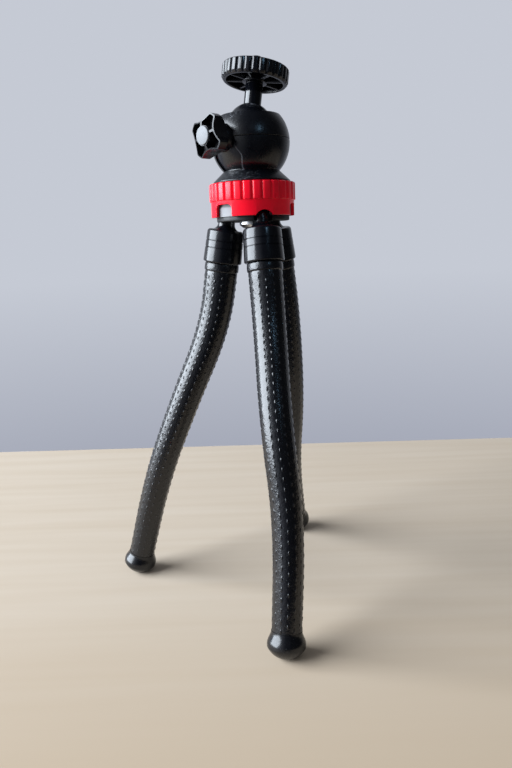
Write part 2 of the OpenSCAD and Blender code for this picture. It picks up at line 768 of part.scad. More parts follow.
// One spine link, from its upper joint to a given length, with a socket above and a ball below
module spine(leg, k) {
    length = link_len(k);
    above = k == 1 ? shoulder_reach - plug_depth : spine_ball_r + running;
    below = k == 4 ? length + spine_rod_r : length - 2 * spine_neck_h;
    centre = k == 1 ? shoulder_reach + (sleeve_spigot_h + first_link) / 2 : length / 2;
    barrel = k == 1 ? spine_barrel / 2 : spine_barrel;
    thick = barrel_r(k);
    taper = thick - spine_rod_r;
    end = k == 4
        ? [[0, -below]]
        : [[0, -length], [spine_neck_r, -length], [spine_neck_r, spine_neck_h - length]];
    outline = concat(end, [
        [spine_rod_r, -below],
        [spine_rod_r, -centre - barrel / 2 - taper],
        [thick, -centre - barrel / 2],
        [thick, -centre + barrel / 2],
        [spine_rod_r, -centre + barrel / 2 + taper],
        [spine_rod_r, -above],
        [0, -above]
    ]);
    color(grey) on_link(leg, k) difference() {
        union() {
            rotate_extrude() polygon(outline);
            if (k > 1) sphere(r = spine_socket_r);
            if (k < 4) translate([0, 0, -length]) sphere(r = spine_ball_r);
        }
        if (k > 1) {
            sphere(r = spine_ball_r + running);
            cylinder(r1 = 0, r2 = spine_socket_r * tan(spine_open), h = spine_socket_r);
        }
    }
}

// A boot with a round wall, a rounded upper edge and a domed sole, about the foot's centre
module boot() {
    intersection() {
        translate([0, 0, sole_rise]) sphere(r = sole_r);
        union() {
            translate([0, 0, -foot_r]) cylinder(r = foot_r, h = foot_r + foot_wall);
            translate([0, 0, -foot_r]) cylinder(r = foot_r - foot_edge, h = foot_r + foot_wall + foot_edge);
            translate([0, 0, foot_wall]) rotate_extrude() {
                translate([foot_r - foot_edge, 0]) circle(r = foot_edge);
            }
        }
    }
}
module foot(leg) {
    color(rubber) difference() {
        on_link(leg, 4) translate([0, 0, -last_link]) boot();
        translate(joint(leg, 4) - [0, 0, foot_z + foot_r]) cylinder(r = 2 * foot_r, h = foot_r);
        on_link(leg, 4) {
            translate([0, 0, sleeve_stop - last_link]) {
                cylinder(r = sleeve_r(sleeve_len - sleeve_stop) + fitted, h = foot_r);
            }
            translate([0, 0, -last_link - spine_rod_r - fitted]) cylinder(r = spine_rod_r + fitted, h = foot_r);
        }
    }
}

function shown(name) = node == "all" || node == name;
if (shown("camera_post")) camera_post();
if (shown("thumb_disc")) thumb_disc();
if (shown("disc_pad")) disc_pad();
if (shown("ball")) ball();
if (shown("ball_seat")) ball_seat();
if (shown("socket_cap")) socket_cap();
if (shown("socket_body")) socket_body();
if (shown("brake_shoe")) brake_shoe();
if (shown("knob_screw")) knob_screw();
if (shown("clamp_knob")) clamp_knob();
if (shown("knob_disc")) knob_disc();
if (shown("head_collar")) head_collar();
if (shown("lock_ring")) lock_ring();
if (shown("hub_core")) hub_core();
if (shown("bottom_plate")) bottom_plate();
if (shown("centre_screw")) centre_screw();
if (shown("hinge_pins")) hinge_pins();
for (leg = [0:2]) {
    if (shown(str(LEGS[leg], "_shoulder"))) shoulder(leg);
    if (shown(str(LEGS[leg], "_sleeve"))) sleeve(leg);
    if (shown(str(LEGS[leg], "_foot"))) foot(leg);
    for (k = [1:4]) {
        if (shown(str(LEGS[leg], "_spine_", k))) spine(leg, k);
    }
}
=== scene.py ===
import json
import math

import bpy
from bpy.props import FloatProperty, FloatVectorProperty, IntProperty, PointerProperty
from bpy.types import Operator, Panel, PropertyGroup
from mathutils import Matrix, Vector


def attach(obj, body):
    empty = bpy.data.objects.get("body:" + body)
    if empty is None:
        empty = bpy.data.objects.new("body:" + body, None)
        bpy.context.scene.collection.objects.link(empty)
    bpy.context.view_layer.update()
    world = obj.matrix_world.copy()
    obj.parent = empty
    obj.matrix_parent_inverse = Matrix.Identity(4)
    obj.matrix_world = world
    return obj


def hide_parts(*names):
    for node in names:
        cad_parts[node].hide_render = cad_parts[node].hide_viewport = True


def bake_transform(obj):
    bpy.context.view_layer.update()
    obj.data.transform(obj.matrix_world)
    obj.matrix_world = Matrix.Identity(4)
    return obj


bl_info = {
    "name": "Flexible leg tripod",
    "version": (1, 0, 0),
    "blender": (4, 5, 0),
    "location": "View3D > Sidebar > Tripod",
    "description": "Dresses the packed tripod: bendable legs, lock ring, ball head and studio",
    "category": "Object",
}

MM = 0.001
UP = Vector((0, 0, 1))
LEGS = ("front", "left", "rear")
# Vertices this close become one
MERGE_REACH = 1e-6
# What lies this close to a level or a plane counts as on it
NEAR = 2e-5

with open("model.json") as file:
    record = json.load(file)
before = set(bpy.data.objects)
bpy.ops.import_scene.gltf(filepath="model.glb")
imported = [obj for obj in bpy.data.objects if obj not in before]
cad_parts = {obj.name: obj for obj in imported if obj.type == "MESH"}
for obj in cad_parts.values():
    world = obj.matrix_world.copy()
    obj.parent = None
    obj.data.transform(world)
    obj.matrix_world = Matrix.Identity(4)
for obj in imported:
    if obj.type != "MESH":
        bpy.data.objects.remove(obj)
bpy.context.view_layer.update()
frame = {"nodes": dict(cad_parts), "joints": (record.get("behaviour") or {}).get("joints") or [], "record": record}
NODES = frame["nodes"]
JOINTS = {joint["name"]: joint for joint in frame["joints"]}
MOUNTS = {mount["name"]: mount for mount in frame["record"]["mounts"]}


def spot(joint):
    """Where a joint of the frame sits."""
    return Vector(JOINTS[joint]["pos_m"])


def heading(joint):
    """The axis of a joint of the frame."""
    return Vector(JOINTS[joint]["axis"]).normalized()


HUB = spot("ring_turn")
BALL = spot("ball_pan")
POST_UP = heading("ball_spin")
KNOB = spot("knob_turn")
KNOB_OUT = heading("knob_turn")
# Heights above the knob's axis and half widths of the recess under the knob, from its foot up
RECESS = ((-13.5 * MM, 6.2 * MM), (-8.0 * MM, 8.15 * MM), (-3.6 * MM, 6.5 * MM))


def length(name, description, default):
    """A size of the tripod, given in millimetres."""
    return FloatProperty(name=name, description=description, default=default * MM, unit="LENGTH")


def angle(name, description, default):
    """An angle, given in radians."""
    return FloatProperty(name=name, description=description, default=default, subtype="ANGLE")


def number(name, description, default, low, high):
    """A number of like features."""
    return IntProperty(name=name, description=description, default=default, min=low, max=high)


def tint(name, description, default):
    """A colour of a finish or of the stage."""
    return FloatVectorProperty(name=name, description=description, default=default, subtype="COLOR")


class TripodLegSizes(PropertyGroup):
    """Sizes of the shoulders, sleeves and feet"""

    shoulder_reach: length("Shoulder reach", "From the hinge pin to the shoulder's lower edge", 22)
    shoulder_height: length("Shoulder height", "Height of the shoulder's round body", 15.4)
    shoulder_top: length("Shoulder top radius", "Radius of the shoulder at its top", 8.7)
    shoulder_low: length("Shoulder low radius", "Radius of the shoulder at its lower edge", 9.25)
    shoulder_edge: length("Shoulder edge", "Rounding of the shoulder's lower edge", 0.6)
    shoulder_crown: length("Shoulder crown", "Rounding of the shoulder's top edge", 1.4)
    neck: length("Neck radius", "Radius of the neck", 4.0)
    neck_fillet: length("Neck fillet", "Hollow between neck and shoulder", 2.8)
    eye: length("Eye radius", "Radius of the hinge eye", 4.2)
    pin: length("Pin hole", "Radius of the hinge pin's hole", 1.55)
    groove_depth: length("Groove depth", "Depth of the two lines round a shoulder", 0.35)
    groove_width: length("Groove width", "Width of the two lines round a shoulder", 0.5)
    groove_first: length("First groove", "Distance of the upper line from the shoulder's top", 5.2)
    groove_pitch: length("Groove pitch", "Distance between the two lines", 3.3)
    first_link: length("First stretch", "Length of sleeve from the shoulder to the first bend", 31.4)
    last_link: length("Last stretch", "Length from the last bend to the foot's centre", 51)
    sleeve_top: length("Sleeve top radius", "Radius of the sleeve under its collar", 7.9)
    sleeve_low: length("Sleeve low radius", "Radius of the sleeve at the foot", 6.55)
    sleeve_wall: length("Sleeve wall", "Thickness of the rubber", 2.0)
    sleeve_gap: length("Sleeve gap", "Gap between shoulder and sleeve", 0.3)
    collar: length("Sleeve collar radius", "Radius of the plain collar", 8.3)
    collar_height: length("Sleeve collar height", "Height of the plain collar", 4.0)
    collar_step: length("Sleeve collar step", "Height of the step under the collar", 0.4)
    pip_columns: number("Pip columns", "Columns of pips round a sleeve", 14, 8, 24)
    pip_pitch: length("Pip pitch", "Distance of two pips in a column at the top", 3.4)
    pip_pitch_low: length("Low pip pitch", "Distance of two pips in a column near the foot", 4.3)
    pip_rise: length("Pip rise", "How far a pip stands out", 0.25)
    foot: length("Foot radius", "Radius of a foot's round wall", 8.4)
    foot_wall: length("Foot wall", "Wall above the foot's centre", 2.4)
    foot_edge: length("Foot edge", "Rounding of the foot's upper edge", 2.2)
    sole: length("Sole radius", "Radius of the domed sole", 9.5)
    sole_rise: length("Sole rise", "Dome's centre above the foot's centre", 3.9)
    foot_seam: length("Mould line", "Width of the moulding line round a foot", 0.3)


class TripodHubSizes(PropertyGroup):
    """Sizes of the lock ring, collar, plate and centre screw"""

    ring: length("Ring radius", "Radius of the fluted band", 20)
    band_low: length("Band foot", "Band's lower edge above the hinge pins", 6)
    ring_top: length("Ring top", "Ring's top above the hinge pins", 13.9)
    skirt: length("Skirt radius", "Radius of the smooth skirt", 19.4)
    skirt_drop: length("Skirt drop", "Skirt's lower edge under the hinge pins", 1.0)
    bore: length("Ring bore", "Radius of the bore round the core", 17.9)
    ledge: length("Ring ledge", "Radius of the bore at the ring's top", 15.3)
    ledge_height: length("Ledge height", "Ledge above the hinge pins", 8.1)
    flutes: number("Ring flutes", "Flutes round the band", 28, 12, 48)
    flute_depth: length("Ring flute depth", "Depth of a flute", 0.75)
    flute_width: length("Ring flute width", "Width of a flute", 1.9)
    notch_width: length("Deep notch width", "Width of a deep notch", 10)
    notch_height: length("Deep notch height", "Height of a deep notch", 5.4)
    notch_corner: length("Deep notch corner", "Rounding of a deep notch", 2.2)
    arch_width: length("Arch width", "Width of a shallow arch", 8.2)
    arch_height: length("Arch height", "Height of a shallow arch", 2.4)
    collar_low: length("Collar low radius", "Lower radius of the cone", 17.9)
    collar_top: length("Collar top radius", "Upper radius of the cone", 13.5)
    collar_base: length("Collar base", "Collar's base above the hinge pins", 14.0)
    collar_height: length("Collar height", "Height of the cone", 4.8)
    plate: length("Plate radius", "Radius of the bottom plate", 17)
    plate_top: length("Plate top", "Plate's top under the hinge pins", 1.0)
    plate_thick: length("Plate thickness", "Thickness of the plate", 2.1)
    slot_width: length("Slot width", "Width of the slot of a neck", 8.6)
    slot_inner: length("Slot depth", "Inner end of the slot from the axis", 7.7)
    screw_head: length("Screw head", "Radius of the centre screw's head", 6.5)
    screw_height: length("Screw height", "Height of the screw's head", 3.0)
    screw_shank: length("Screw shank", "Radius of the screw's shank", 2.5)


class TripodHeadSizes(PropertyGroup):
    """Sizes of the ball head, thumb disc and clamp knob"""

    seam: length("Seam", "Housing's seam above the hinge pins", 32.7)
    housing: length("Housing radius", "Radius of the housing", 18)
    sink: length("Housing sink", "Centre of the round under the seam", 0.9)
    rise: length("Housing rise", "Seam above the housing's base", 13.9)
    base: length("Housing base", "Radius of the base", 12.9)
    foot: length("Housing foot", "Height of the plain foot of the housing", 0.75)
    top: length("Housing top", "Flat top above the seam", 10.7)
    ball: length("Ball radius", "Radius of the ball", 10.5)
    ball_rise: length("Ball rise", "Ball's centre above the seam", 5.8)
    cavity: length("Cavity", "Radius of the room round the ball", 10.8)
    mouth_lip: length("Mouth lip", "Height of the mouth's bevel", 0.5)
    mouth_bevel: length("Mouth bevel", "Width of the mouth's bevel", 1.3)
    post: length("Post radius", "Radius of the post", 4.0)
    post_reach: length("Post reach", "Post's shoulder above the ball's centre", 19.3)
    stud: length("Stud radius", "Radius of the camera thread", 3.175)
    stud_height: length("Stud height", "Stud above the pad", 4.3)
    shank: length("Shank radius", "Radius of the stud inside the disc", 2.925)
    thread_pitch: length("Thread pitch", "Pitch of the camera thread", 1.27)
    disc: length("Disc radius", "Radius of the thumb disc", 15.2)
    disc_base: length("Disc base", "Disc's underside above the ball's centre", 19.4)
    disc_height: length("Disc height", "Height of the disc", 6.4)
    disc_top: length("Disc top", "Thickness of the disc's top", 2.2)
    disc_rim: length("Disc rim", "Thickness of the rim", 2.2)
    disc_boss: length("Disc boss", "Radius of the boss", 5.6)
    disc_ribs: number("Disc ribs", "Ribs under the disc", 8, 4, 12)
    disc_rib: length("Rib thickness", "Thickness of a rib", 1.0)
    disc_flutes: number("Disc flutes", "Flutes round the rim", 28, 12, 48)
    disc_flute: length("Disc flute depth", "Depth of a flute", 0.6)
    disc_flute_width: length("Disc flute width", "Width of a flute", 1.9)
    pad: length("Pad radius", "Outer radius of the rubber pad", 13)
    pad_bore: length("Pad bore", "Inner radius of the rubber pad", 7)
    pad_thick: length("Pad thickness", "Thickness of the rubber pad", 1.3)
    pad_proud: length("Pad rise", "Pad above the disc", 0.5)
    boss: length("Knob boss", "Radius of the boss that carries the knob", 6)
    boss_reach: length("Boss reach", "Boss's face from the hub's axis", 19.6)
    recess: length("Recess", "Depth of the recess under the knob", 0.8)
    knob: length("Knob radius", "Radius of the lobes", 9.5)
    knob_start: length("Knob start", "Knob's back from the hub's axis", 19.9)
    knob_depth: length("Knob depth", "Depth of the knob", 8.8)
    knob_drop: length("Knob drop", "Lobe tips behind the knob's face", 1.8)
    knob_back: length("Knob back", "Radius of the knob's back", 6.6)
    knob_hollow: length("Knob hollow", "Depth of the hollows", 3)
    knob_hollow_radius: length("Hollow radius", "Radius of the hollows", 10)
    knob_phase: angle("Knob phase", "Angle of the first hollow", math.radians(15))
    knob_pocket: length("Knob pocket", "Depth of the pockets", 4.2)
    knob_rim: length("Knob rim", "Thickness of the rim", 0.5)
    knob_disc: length("Silver disc", "Radius of the silver disc", 3.9)
    knob_disc_thick: length("Silver disc thickness", "Thickness of the silver disc", 1.4)


class TripodFinishes(PropertyGroup):
    """Colours of the finishes"""

    shell: tint("Shell", "Black plastic", (0.0024, 0.0029, 0.0048))
    rubber: tint("Sleeve", "Sleeve rubber", (0.0028, 0.0032, 0.0048))
    red: tint("Ring", "Red plastic", (0.95, 0.001, 0.018))
    grey: tint("Core", "Grey core", (0.19, 0.19, 0.20))
    links: tint("Links", "Spine links", (0.30, 0.30, 0.31))
    pale: tint("Seat", "Pale plastic", (0.70, 0.70, 0.67))
    steel: tint("Steel", "Bright zinc", (0.72, 0.72, 0.73))
    silver: tint("Silver", "Knob disc", (0.16, 0.165, 0.175))
    # Also the colour of the painted highlight line under the knob
    dust: tint("Dust", "Dust and scuffs", (0.32, 0.34, 0.38))


class TripodStage(PropertyGroup):
    """Floor, wall, lights and camera"""

    floor: tint("Floor", "Colour of the floor", (0.585, 0.49, 0.39))
    # Painted shade for the front of the floor, also the colour of its streaks
    floor_shade_and_streaks: tint("Near floor", "Colour of the floor in front", (0.50, 0.39, 0.28))
    wall: tint("Wall", "Colour of the wall", (0.56, 0.59, 0.66))
    # Painted shade: the wall darkens towards the floor
    wall_low_shade: tint("Low wall", "Wall near the floor", (0.30, 0.32, 0.40))
    fill: FloatProperty(name="Fill", description="Strength of the even light", default=0.22)
    window: FloatProperty(name="Window", description="Power of the large light", default=181.0, unit="POWER")
    sky: FloatProperty(name="Sky", description="Power of the small cool light", default=15.0, unit="POWER")
    lens: FloatProperty(name="Lens", description="Focal length in millimetres", default=30.0)
    camera_at: FloatVectorProperty(
        name="Camera",
        description="Place of the camera from the hub",
        default=(0, -0.3111, -0.0124),
        subtype="TRANSLATION",
        unit="LENGTH",
    )
    pitch: angle("Pitch", "Downward angle of the camera", 0.2189)
    roll: angle("Roll", "Roll of the camera", -0.0361)
    yaw: angle("Yaw", "Turn of the camera", -0.0048)


def fresh():
    """Leave edit mode and select nothing."""
    if bpy.context.mode != "OBJECT":
        bpy.ops.object.mode_set(mode="OBJECT")
    bpy.ops.object.select_all(action="DESELECT")


def activate(piece):
    """Make a piece the only selected object."""
    fresh()
    piece.select_set(True)
    bpy.context.view_layer.objects.active = piece


def named(name):
    """Name the piece that was just added."""
    piece = bpy.context.object
    piece.name = name
    piece.data.name = name
    return piece


def settle(piece, place=None):
    """Put a piece in its place and leave that place in its mesh."""
    activate(piece)
    if place is not None:
        piece.matrix_world = place
    bpy.ops.object.transform_apply(location=True, rotation=True, scale=True)
    return piece


def copied(piece, name):
    """A copy of a piece with a mesh of its own."""
    activate(piece)
    bpy.ops.object.duplicate(linked=False)
    return named(name)


def discard(piece):
    """Remove a pattern or a cutter."""
    bpy.data.objects.remove(piece, do_unlink=True)


def pose(at, up, hint):
    """A place with its Z along up and its X towards hint."""
    z = up.normalized()
    x = (hint - hint.dot(z) * z).normalized()
    return Matrix.Translation(at) @ Matrix((x, z.cross(x), z)).transposed().to_4x4()


def choose(piece, kind, test):
    """Select what passes the test, by its middle and its normal or direction, and stay in edit mode."""
    activate(piece)
    bpy.ops.object.mode_set(mode="EDIT")
    bpy.ops.mesh.select_mode(type=kind)
    bpy.ops.mesh.select_all(action="DESELECT")
    bpy.ops.object.mode_set(mode="OBJECT")
    mesh = piece.data
    if kind == "FACE":
        for face in mesh.polygons:
            face.select = bool(test(face.center, face.normal))
    elif kind == "EDGE":
        for edge in mesh.edges:
            a, b = (mesh.vertices[i].co for i in edge.vertices)
            edge.select = bool(test((a + b) / 2, b - a))
    else:
        for vertex in mesh.vertices:
            vertex.select = bool(test(vertex.co, vertex.normal))
    bpy.ops.object.mode_set(mode="EDIT")


def tidy(piece):
    """Merge doubles and turn every face outwards."""
    activate(piece)
    bpy.ops.object.mode_set(mode="EDIT")
    bpy.ops.mesh.select_all(action="SELECT")
    bpy.ops.mesh.remove_doubles(threshold=MERGE_REACH)
    bpy.ops.mesh.normals_make_consistent(inside=False)
    bpy.ops.object.mode_set(mode="OBJECT")


def smooth(piece, angle=35):
    """Shade a piece smooth up to an angle."""
    activate(piece)
    bpy.ops.object.shade_smooth_by_angle(angle=math.radians(angle))
    return piece


def chain(name, points):
    """A chain of edges, extruded from one vertex through the points."""
    fresh()
    bpy.ops.mesh.primitive_plane_add(size=MM)
    piece = named(name)
    bpy.ops.object.mode_set(mode="EDIT")
    bpy.ops.mesh.select_mode(type="VERT")
    bpy.ops.mesh.select_all(action="SELECT")
    bpy.ops.mesh.merge(type="CENTER")
    bpy.ops.transform.translate(value=points[0])
    for here, there in zip(points, points[1:]):
        bpy.ops.mesh.extrude_vertices_move(TRANSFORM_OT_translate={"value": Vector(there) - Vector(here)})
    return piece


def turned(name, profile, steps=96):
    """A solid turned about Z from (radius, height) pairs."""
    piece = chain(name, [Vector((r, 0, z)) for r, z in profile])
    bpy.ops.mesh.select_all(action="SELECT")
    bpy.ops.mesh.spin(steps=steps, angle=math.tau, center=(0, 0, 0), axis=(0, 0, 1))
    bpy.ops.object.mode_set(mode="OBJECT")
    tidy(piece)
    return piece


def prism(name, outline, height):
    """A flat outline of (x, y) pairs, filled and drawn up along Z."""
    piece = chain(name, [Vector((x, y, 0)) for x, y in outline])
    bpy.ops.mesh.select_all(action="SELECT")
    bpy.ops.mesh.edge_face_add()
    bpy.ops.mesh.extrude_region_move(TRANSFORM_OT_translate={"value": (0, 0, height)})
    bpy.ops.object.mode_set(mode="OBJECT")
    tidy(piece)
    return piece


def rounded(corners, steps=5):
    """The line through the corners, with an arc where a corner gives a radius."""
    line = []
    for i, corner in enumerate(corners):
        here = Vector(corner[:2])
        if len(corner) < 3:
            line.append(here)
            continue
        to_last = (Vector(corners[i - 1][:2]) - here).normalized()
        to_next = (Vector(corners[(i + 1) % len(corners)][:2]) - here).normalized()
        half = to_last.angle(to_next) / 2
        centre = here + (to_last + to_next).normalized() * corner[2] / math.sin(half)
        start = (here + to_last * corner[2] / math.tan(half) - centre).normalized()
        end = (here + to_next * corner[2] / math.tan(half) - centre).normalized()
        line += [centre + corner[2] * start.slerp(end, k / steps) for k in range(steps + 1)]
    return line


def arc(radius, low, high, steps, lift=0.0):
    """Points of a circle about (0, lift), between two heights of its right half."""
    start, end = (math.asin(max(-1, min(1, (z - lift) / radius))) for z in (low, high))
    angles = [start + (end - start) * k / steps for k in range(steps + 1)]
    return [Vector((radius * math.cos(a), lift + radius * math.sin(a))) for a in angles]


def apply_modifier(piece, kind, **values):
    """Add a modifier, set it and apply it."""
    activate(piece)
    modifier = piece.modifiers.new(kind.title(), kind)
    for key, value in values.items():
        setattr(modifier, key, value)
    bpy.ops.object.modifier_apply(modifier=modifier.name)


def combine(piece, tool, operation):
    """Cut, fuse or keep the common part of a piece and a tool, and discard the tool."""
    apply_modifier(piece, "BOOLEAN", operation=operation, object=tool, solver="EXACT")
    discard(tool)


def soften(piece, width, segments=2, angle=60):
    """Round the sharp edges of a piece."""
    limit = {"limit_method": "ANGLE", "angle_limit": math.radians(angle)}
    apply_modifier(piece, "BEVEL", width=width, segments=segments, miter_outer="MITER_ARC", **limit)


def rod(name, radius, reach, place, sides=48):
    """A round cutter that runs up its own Z."""
    fresh()
    middle = (0, 0, reach / 2)
    bpy.ops.mesh.primitive_cylinder_add(vertices=sides, radius=radius, depth=reach, location=middle)
    return settle(settle(named(name)), place)


def block(name, sizes):
    """A box about the origin, for a cut or a rib."""
    fresh()
    bpy.ops.mesh.primitive_cube_add(size=1)
    piece = named(name)
    piece.dimensions = sizes
    return settle(piece)


def flute(piece, count, columns, depth, picked, radius):
    """Draw in the picked vertices column by column, by a depth that depends on the place within a flute."""
    pitch = math.tau / count
    for column in range(columns):
        drop = depth(min(column, columns - column) * radius * pitch / columns)
        if drop <= 0:
            continue

        def in_column(co, normal, column=column):
            turn = math.atan2(co.y, co.x) % pitch / pitch * columns
            return picked(co) and round(turn) % columns == column

        choose(piece, "VERT", in_column)
        share = 1 - drop / radius
        bpy.ops.transform.resize(value=(share, share, 1), center_override=(0, 0, 0))
        bpy.ops.object.mode_set(mode="OBJECT")


def bowl(depth, width):
    """The depth of a rounded flute at a distance from its middle."""

    def drop(away):
        return depth * math.cos(math.pi * away / width) ** 2 if away < width / 2 else 0

    return drop


# Finishes


def node(tree, kind, settings=None, **sockets):
    """Add a shader node, with settings on the node and values or links on its sockets."""
    made = tree.nodes.new("ShaderNode" + kind)
    for key, value in (settings or {}).items():
        setattr(made, key, value)
    for key, value in sockets.items():
        by_number = key[:2] == "in" and key[2:].isdigit()
        socket = made.inputs[int(key[2:]) if by_number else key.replace("_", " ")]
        if isinstance(value, bpy.types.NodeSocket):
            tree.links.new(value, socket)
        else:
            socket.default_value = value
    return made


def blank(name):
    """A material with only its shader, and the piece's own coordinates."""
    material = bpy.data.materials.new(name)
    material.use_nodes = True
    tree = material.node_tree
    tree.nodes.clear()
    shader = node(tree, "BsdfPrincipled")
    node(tree, "OutputMaterial", Surface=shader.outputs["BSDF"])
    return material, tree, shader, node(tree, "TexCoord").outputs["Object"]


def joined(tree, shader, tone, rough, height, rise):
    """Give the shader its colour, its roughness and a relief of a given rise."""
    relief = node(tree, "Bump", Strength=1.0, Distance=rise, Height=height).outputs["Normal"]
    for socket, value in (("Base Color", tone), ("Roughness", rough), ("Normal", relief)):
        tree.links.new(value, shader.inputs[socket])


def grain(tree, place, size, detail=2.0, rough=0.5):
    """Noise with features of a given size."""
    return node(tree, "TexNoise", Vector=place, Scale=1 / size, Detail=detail, Roughness=rough).outputs["Fac"]


def ranged(tree, value, low, high, out_low, out_high, curve="LINEAR"):
    """A value taken from one range to another."""
    ends = {"From_Min": low, "From_Max": high, "To_Min": out_low, "To_Max": out_high}
    return node(tree, "MapRange", {"interpolation_type": curve}, Value=value, **ends).outputs["Result"]


def maths(tree, operation, *values, clamp=False):
    """One to three values added, multiplied or compared."""
    sockets = {f"in{i}": value for i, value in enumerate(values)}
    return node(tree, "Math", {"operation": operation, "use_clamp": clamp}, **sockets).outputs[0]


def measured(tree, operation, a, b):
    """The distance or the dot product of two vectors."""
    return node(tree, "VectorMath", {"operation": operation}, in0=a, in1=b).outputs["Value"]


def mixed(tree, share, a, b):
    """Two colours mixed."""
    mix = node(tree, "Mix", {"data_type": "RGBA"}, in0=share)
    for index, colour in ((6, a), (7, b)):
        if isinstance(colour, bpy.types.NodeSocket):
            tree.links.new(colour, mix.inputs[index])
        else:
            mix.inputs[index].default_value = (*colour, 1)
    return mix.outputs[2]


def clouded(tree, place, size, colour, dark, light):
    """A colour that wanders between a darker and a lighter share of itself."""
    darker, lighter = (tuple(c * share for c in colour) for share in (dark, light))
    return mixed(tree, grain(tree, place, size, 3), darker, lighter)


def stretched(tree, place, way, stretch):
    """The place for a pattern that is turned and drawn out along its X."""
    kind = {"vector_type": "TEXTURE"}
    return node(tree, "Mapping", kind, Vector=place, Rotation=way, Scale=(stretch, 1, 1)).outputs["Vector"]


def scuffed(tree, place, centre, reach, way):
    """Share of short scuffs around a centre."""
    lines = ranged(tree, grain(tree, stretched(tree, place, way, 8), 0.5 * MM, 2), 0.58, 0.66, 0, 1)
    close = ranged(tree, measured(tree, "DISTANCE", place, centre), reach * 0.35, reach, 1, 0)
    return maths(tree, "MULTIPLY", lines, close)


def recess_highlight(tree, place):
    """Share of a thin painted highlight along the right edge of the recess under the knob."""
    (low, foot), (middle, widest), (high, neck) = RECESS
    across = UP.cross(KNOB_OUT).normalized()
    side = across.dot(KNOB)
    parts = node(tree, "SeparateXYZ", Vector=place).outputs
    spread = (side + foot, side + widest, "SMOOTHSTEP")
    wide = ranged(tree, parts["Z"], KNOB.z + low, KNOB.z + middle, *spread)
    drawn_in = ranged(tree, parts["Z"], KNOB.z + middle, KNOB.z + high, 0, widest - neck, "SMOOTHSTEP")
    beyond = maths(tree, "SUBTRACT", measured(tree, "DOT_PRODUCT", place, across), wide)
    off = maths(tree, "ABSOLUTE", maths(tree, "ADD", beyond, drawn_in))
    line = ranged(tree, off, 0.15 * MM, 0.6 * MM, 0.4, 0)
    under = ranged(tree, parts["Z"], KNOB.z - 5.5 * MM, KNOB.z - 3 * MM, 1, 0)
    front = ranged(tree, parts["Y"], HUB.y - 9 * MM, HUB.y - 6 * MM, 1, 0)
    return maths(tree, "MULTIPLY", maths(tree, "MULTIPLY", line, under), front)


def plastic(name, colour, rough, peel, dust=None, dusty=0.0, scuff=None, painted_highlight=False, shade=None, shine=0.5):
    """Moulded plastic: faint orange peel, uneven gloss, dust, a scuffed spot, a painted highlight line or a shaded
    top.
    """
    material, tree, shader, place = blank(name)
    tone = clouded(tree, place, 9 * MM, colour, 0.8, 1.25)
    gloss = ranged(tree, grain(tree, place, 4 * MM, 4), 0.3, 0.7, *rough)
    height = grain(tree, place, 0.7 * MM, 2)
    if dust is not None:
        specks = ranged(tree, grain(tree, place, 0.35 * MM, 2), 0.66, 0.74, 0, 1)
        patches = ranged(tree, grain(tree, place, 6 * MM, 3), 0.45, 0.65, 0, dusty)
        tone = mixed(tree, maths(tree, "MULTIPLY", specks, patches), tone, dust)
    if scuff is not None:
        share = scuffed(tree, place, *scuff)
        tone = mixed(tree, maths(tree, "MULTIPLY", share, 0.35), tone, dust)
        gloss = maths(tree, "ADD", gloss, maths(tree, "MULTIPLY", share, 0.3), clamp=True)
        height = maths(tree, "SUBTRACT", height, share)
    # Painted highlight: a thin light line in the dust colour along the recess edge under the knob
    if painted_highlight:
        tone = mixed(tree, recess_highlight(tree, place), tone, dust)
    if shade is not None:
        level = node(tree, "SeparateXYZ", Vector=place).outputs["Z"]
        tone = mixed(tree, ranged(tree, level, shade, shade + 0.7 * MM, 0, 0.92), tone, (0.004, 0.004, 0.004))
    joined(tree, shader, tone, gloss, height, peel * MM)
    shader.inputs["Specular IOR Level"].default_value = shine
    return material


def rubber(name, colour, rough, pebble, rise, dust, shine=0.5):
    """Rubber: a fine pebbled skin with a soft, uneven gloss."""
    material, tree, shader, place = blank(name)
    pattern = {"feature": "SMOOTH_F1"}
    cells = node(tree, "TexVoronoi", pattern, Vector=place, Scale=1 / (pebble * MM)).outputs["Distance"]
    pebbles = ranged(tree, cells, 0.0, 0.7, 1, 0)
    height = maths(tree, "MULTIPLY_ADD", grain(tree, place, 0.4 * MM, 2), 0.12, pebbles)
    specks = ranged(tree, grain(tree, place, 0.5 * MM, 2), 0.68, 0.76, 0, 0.22)
    tone = mixed(tree, specks, clouded(tree, place, 7 * MM, colour, 0.8, 1.3), dust)
    gloss = ranged(tree, grain(tree, place, 3 * MM, 4), 0.3, 0.7, *rough)
    joined(tree, shader, tone, gloss, height, rise * MM)
    shader.inputs["Specular IOR Level"].default_value = shine
    return material


def metal(name, colour, rough=(0.25, 0.4), way=(0, 0, 0), stretch=14, bare=1.0):
    """Bright metal, or a painted metal look, with fine drawn lines."""
    material, tree, shader, place = blank(name)
    lines = grain(tree, stretched(tree, place, way, stretch), 0.12 * MM, 4, 0.6)
    tone = clouded(tree, place, 5 * MM, colour, 0.9, 1.08)
    joined(tree, shader, tone, ranged(tree, lines, 0.3, 0.7, *rough), lines, 0.004 * MM)
    shader.inputs["Metallic"].default_value = bare
    return material


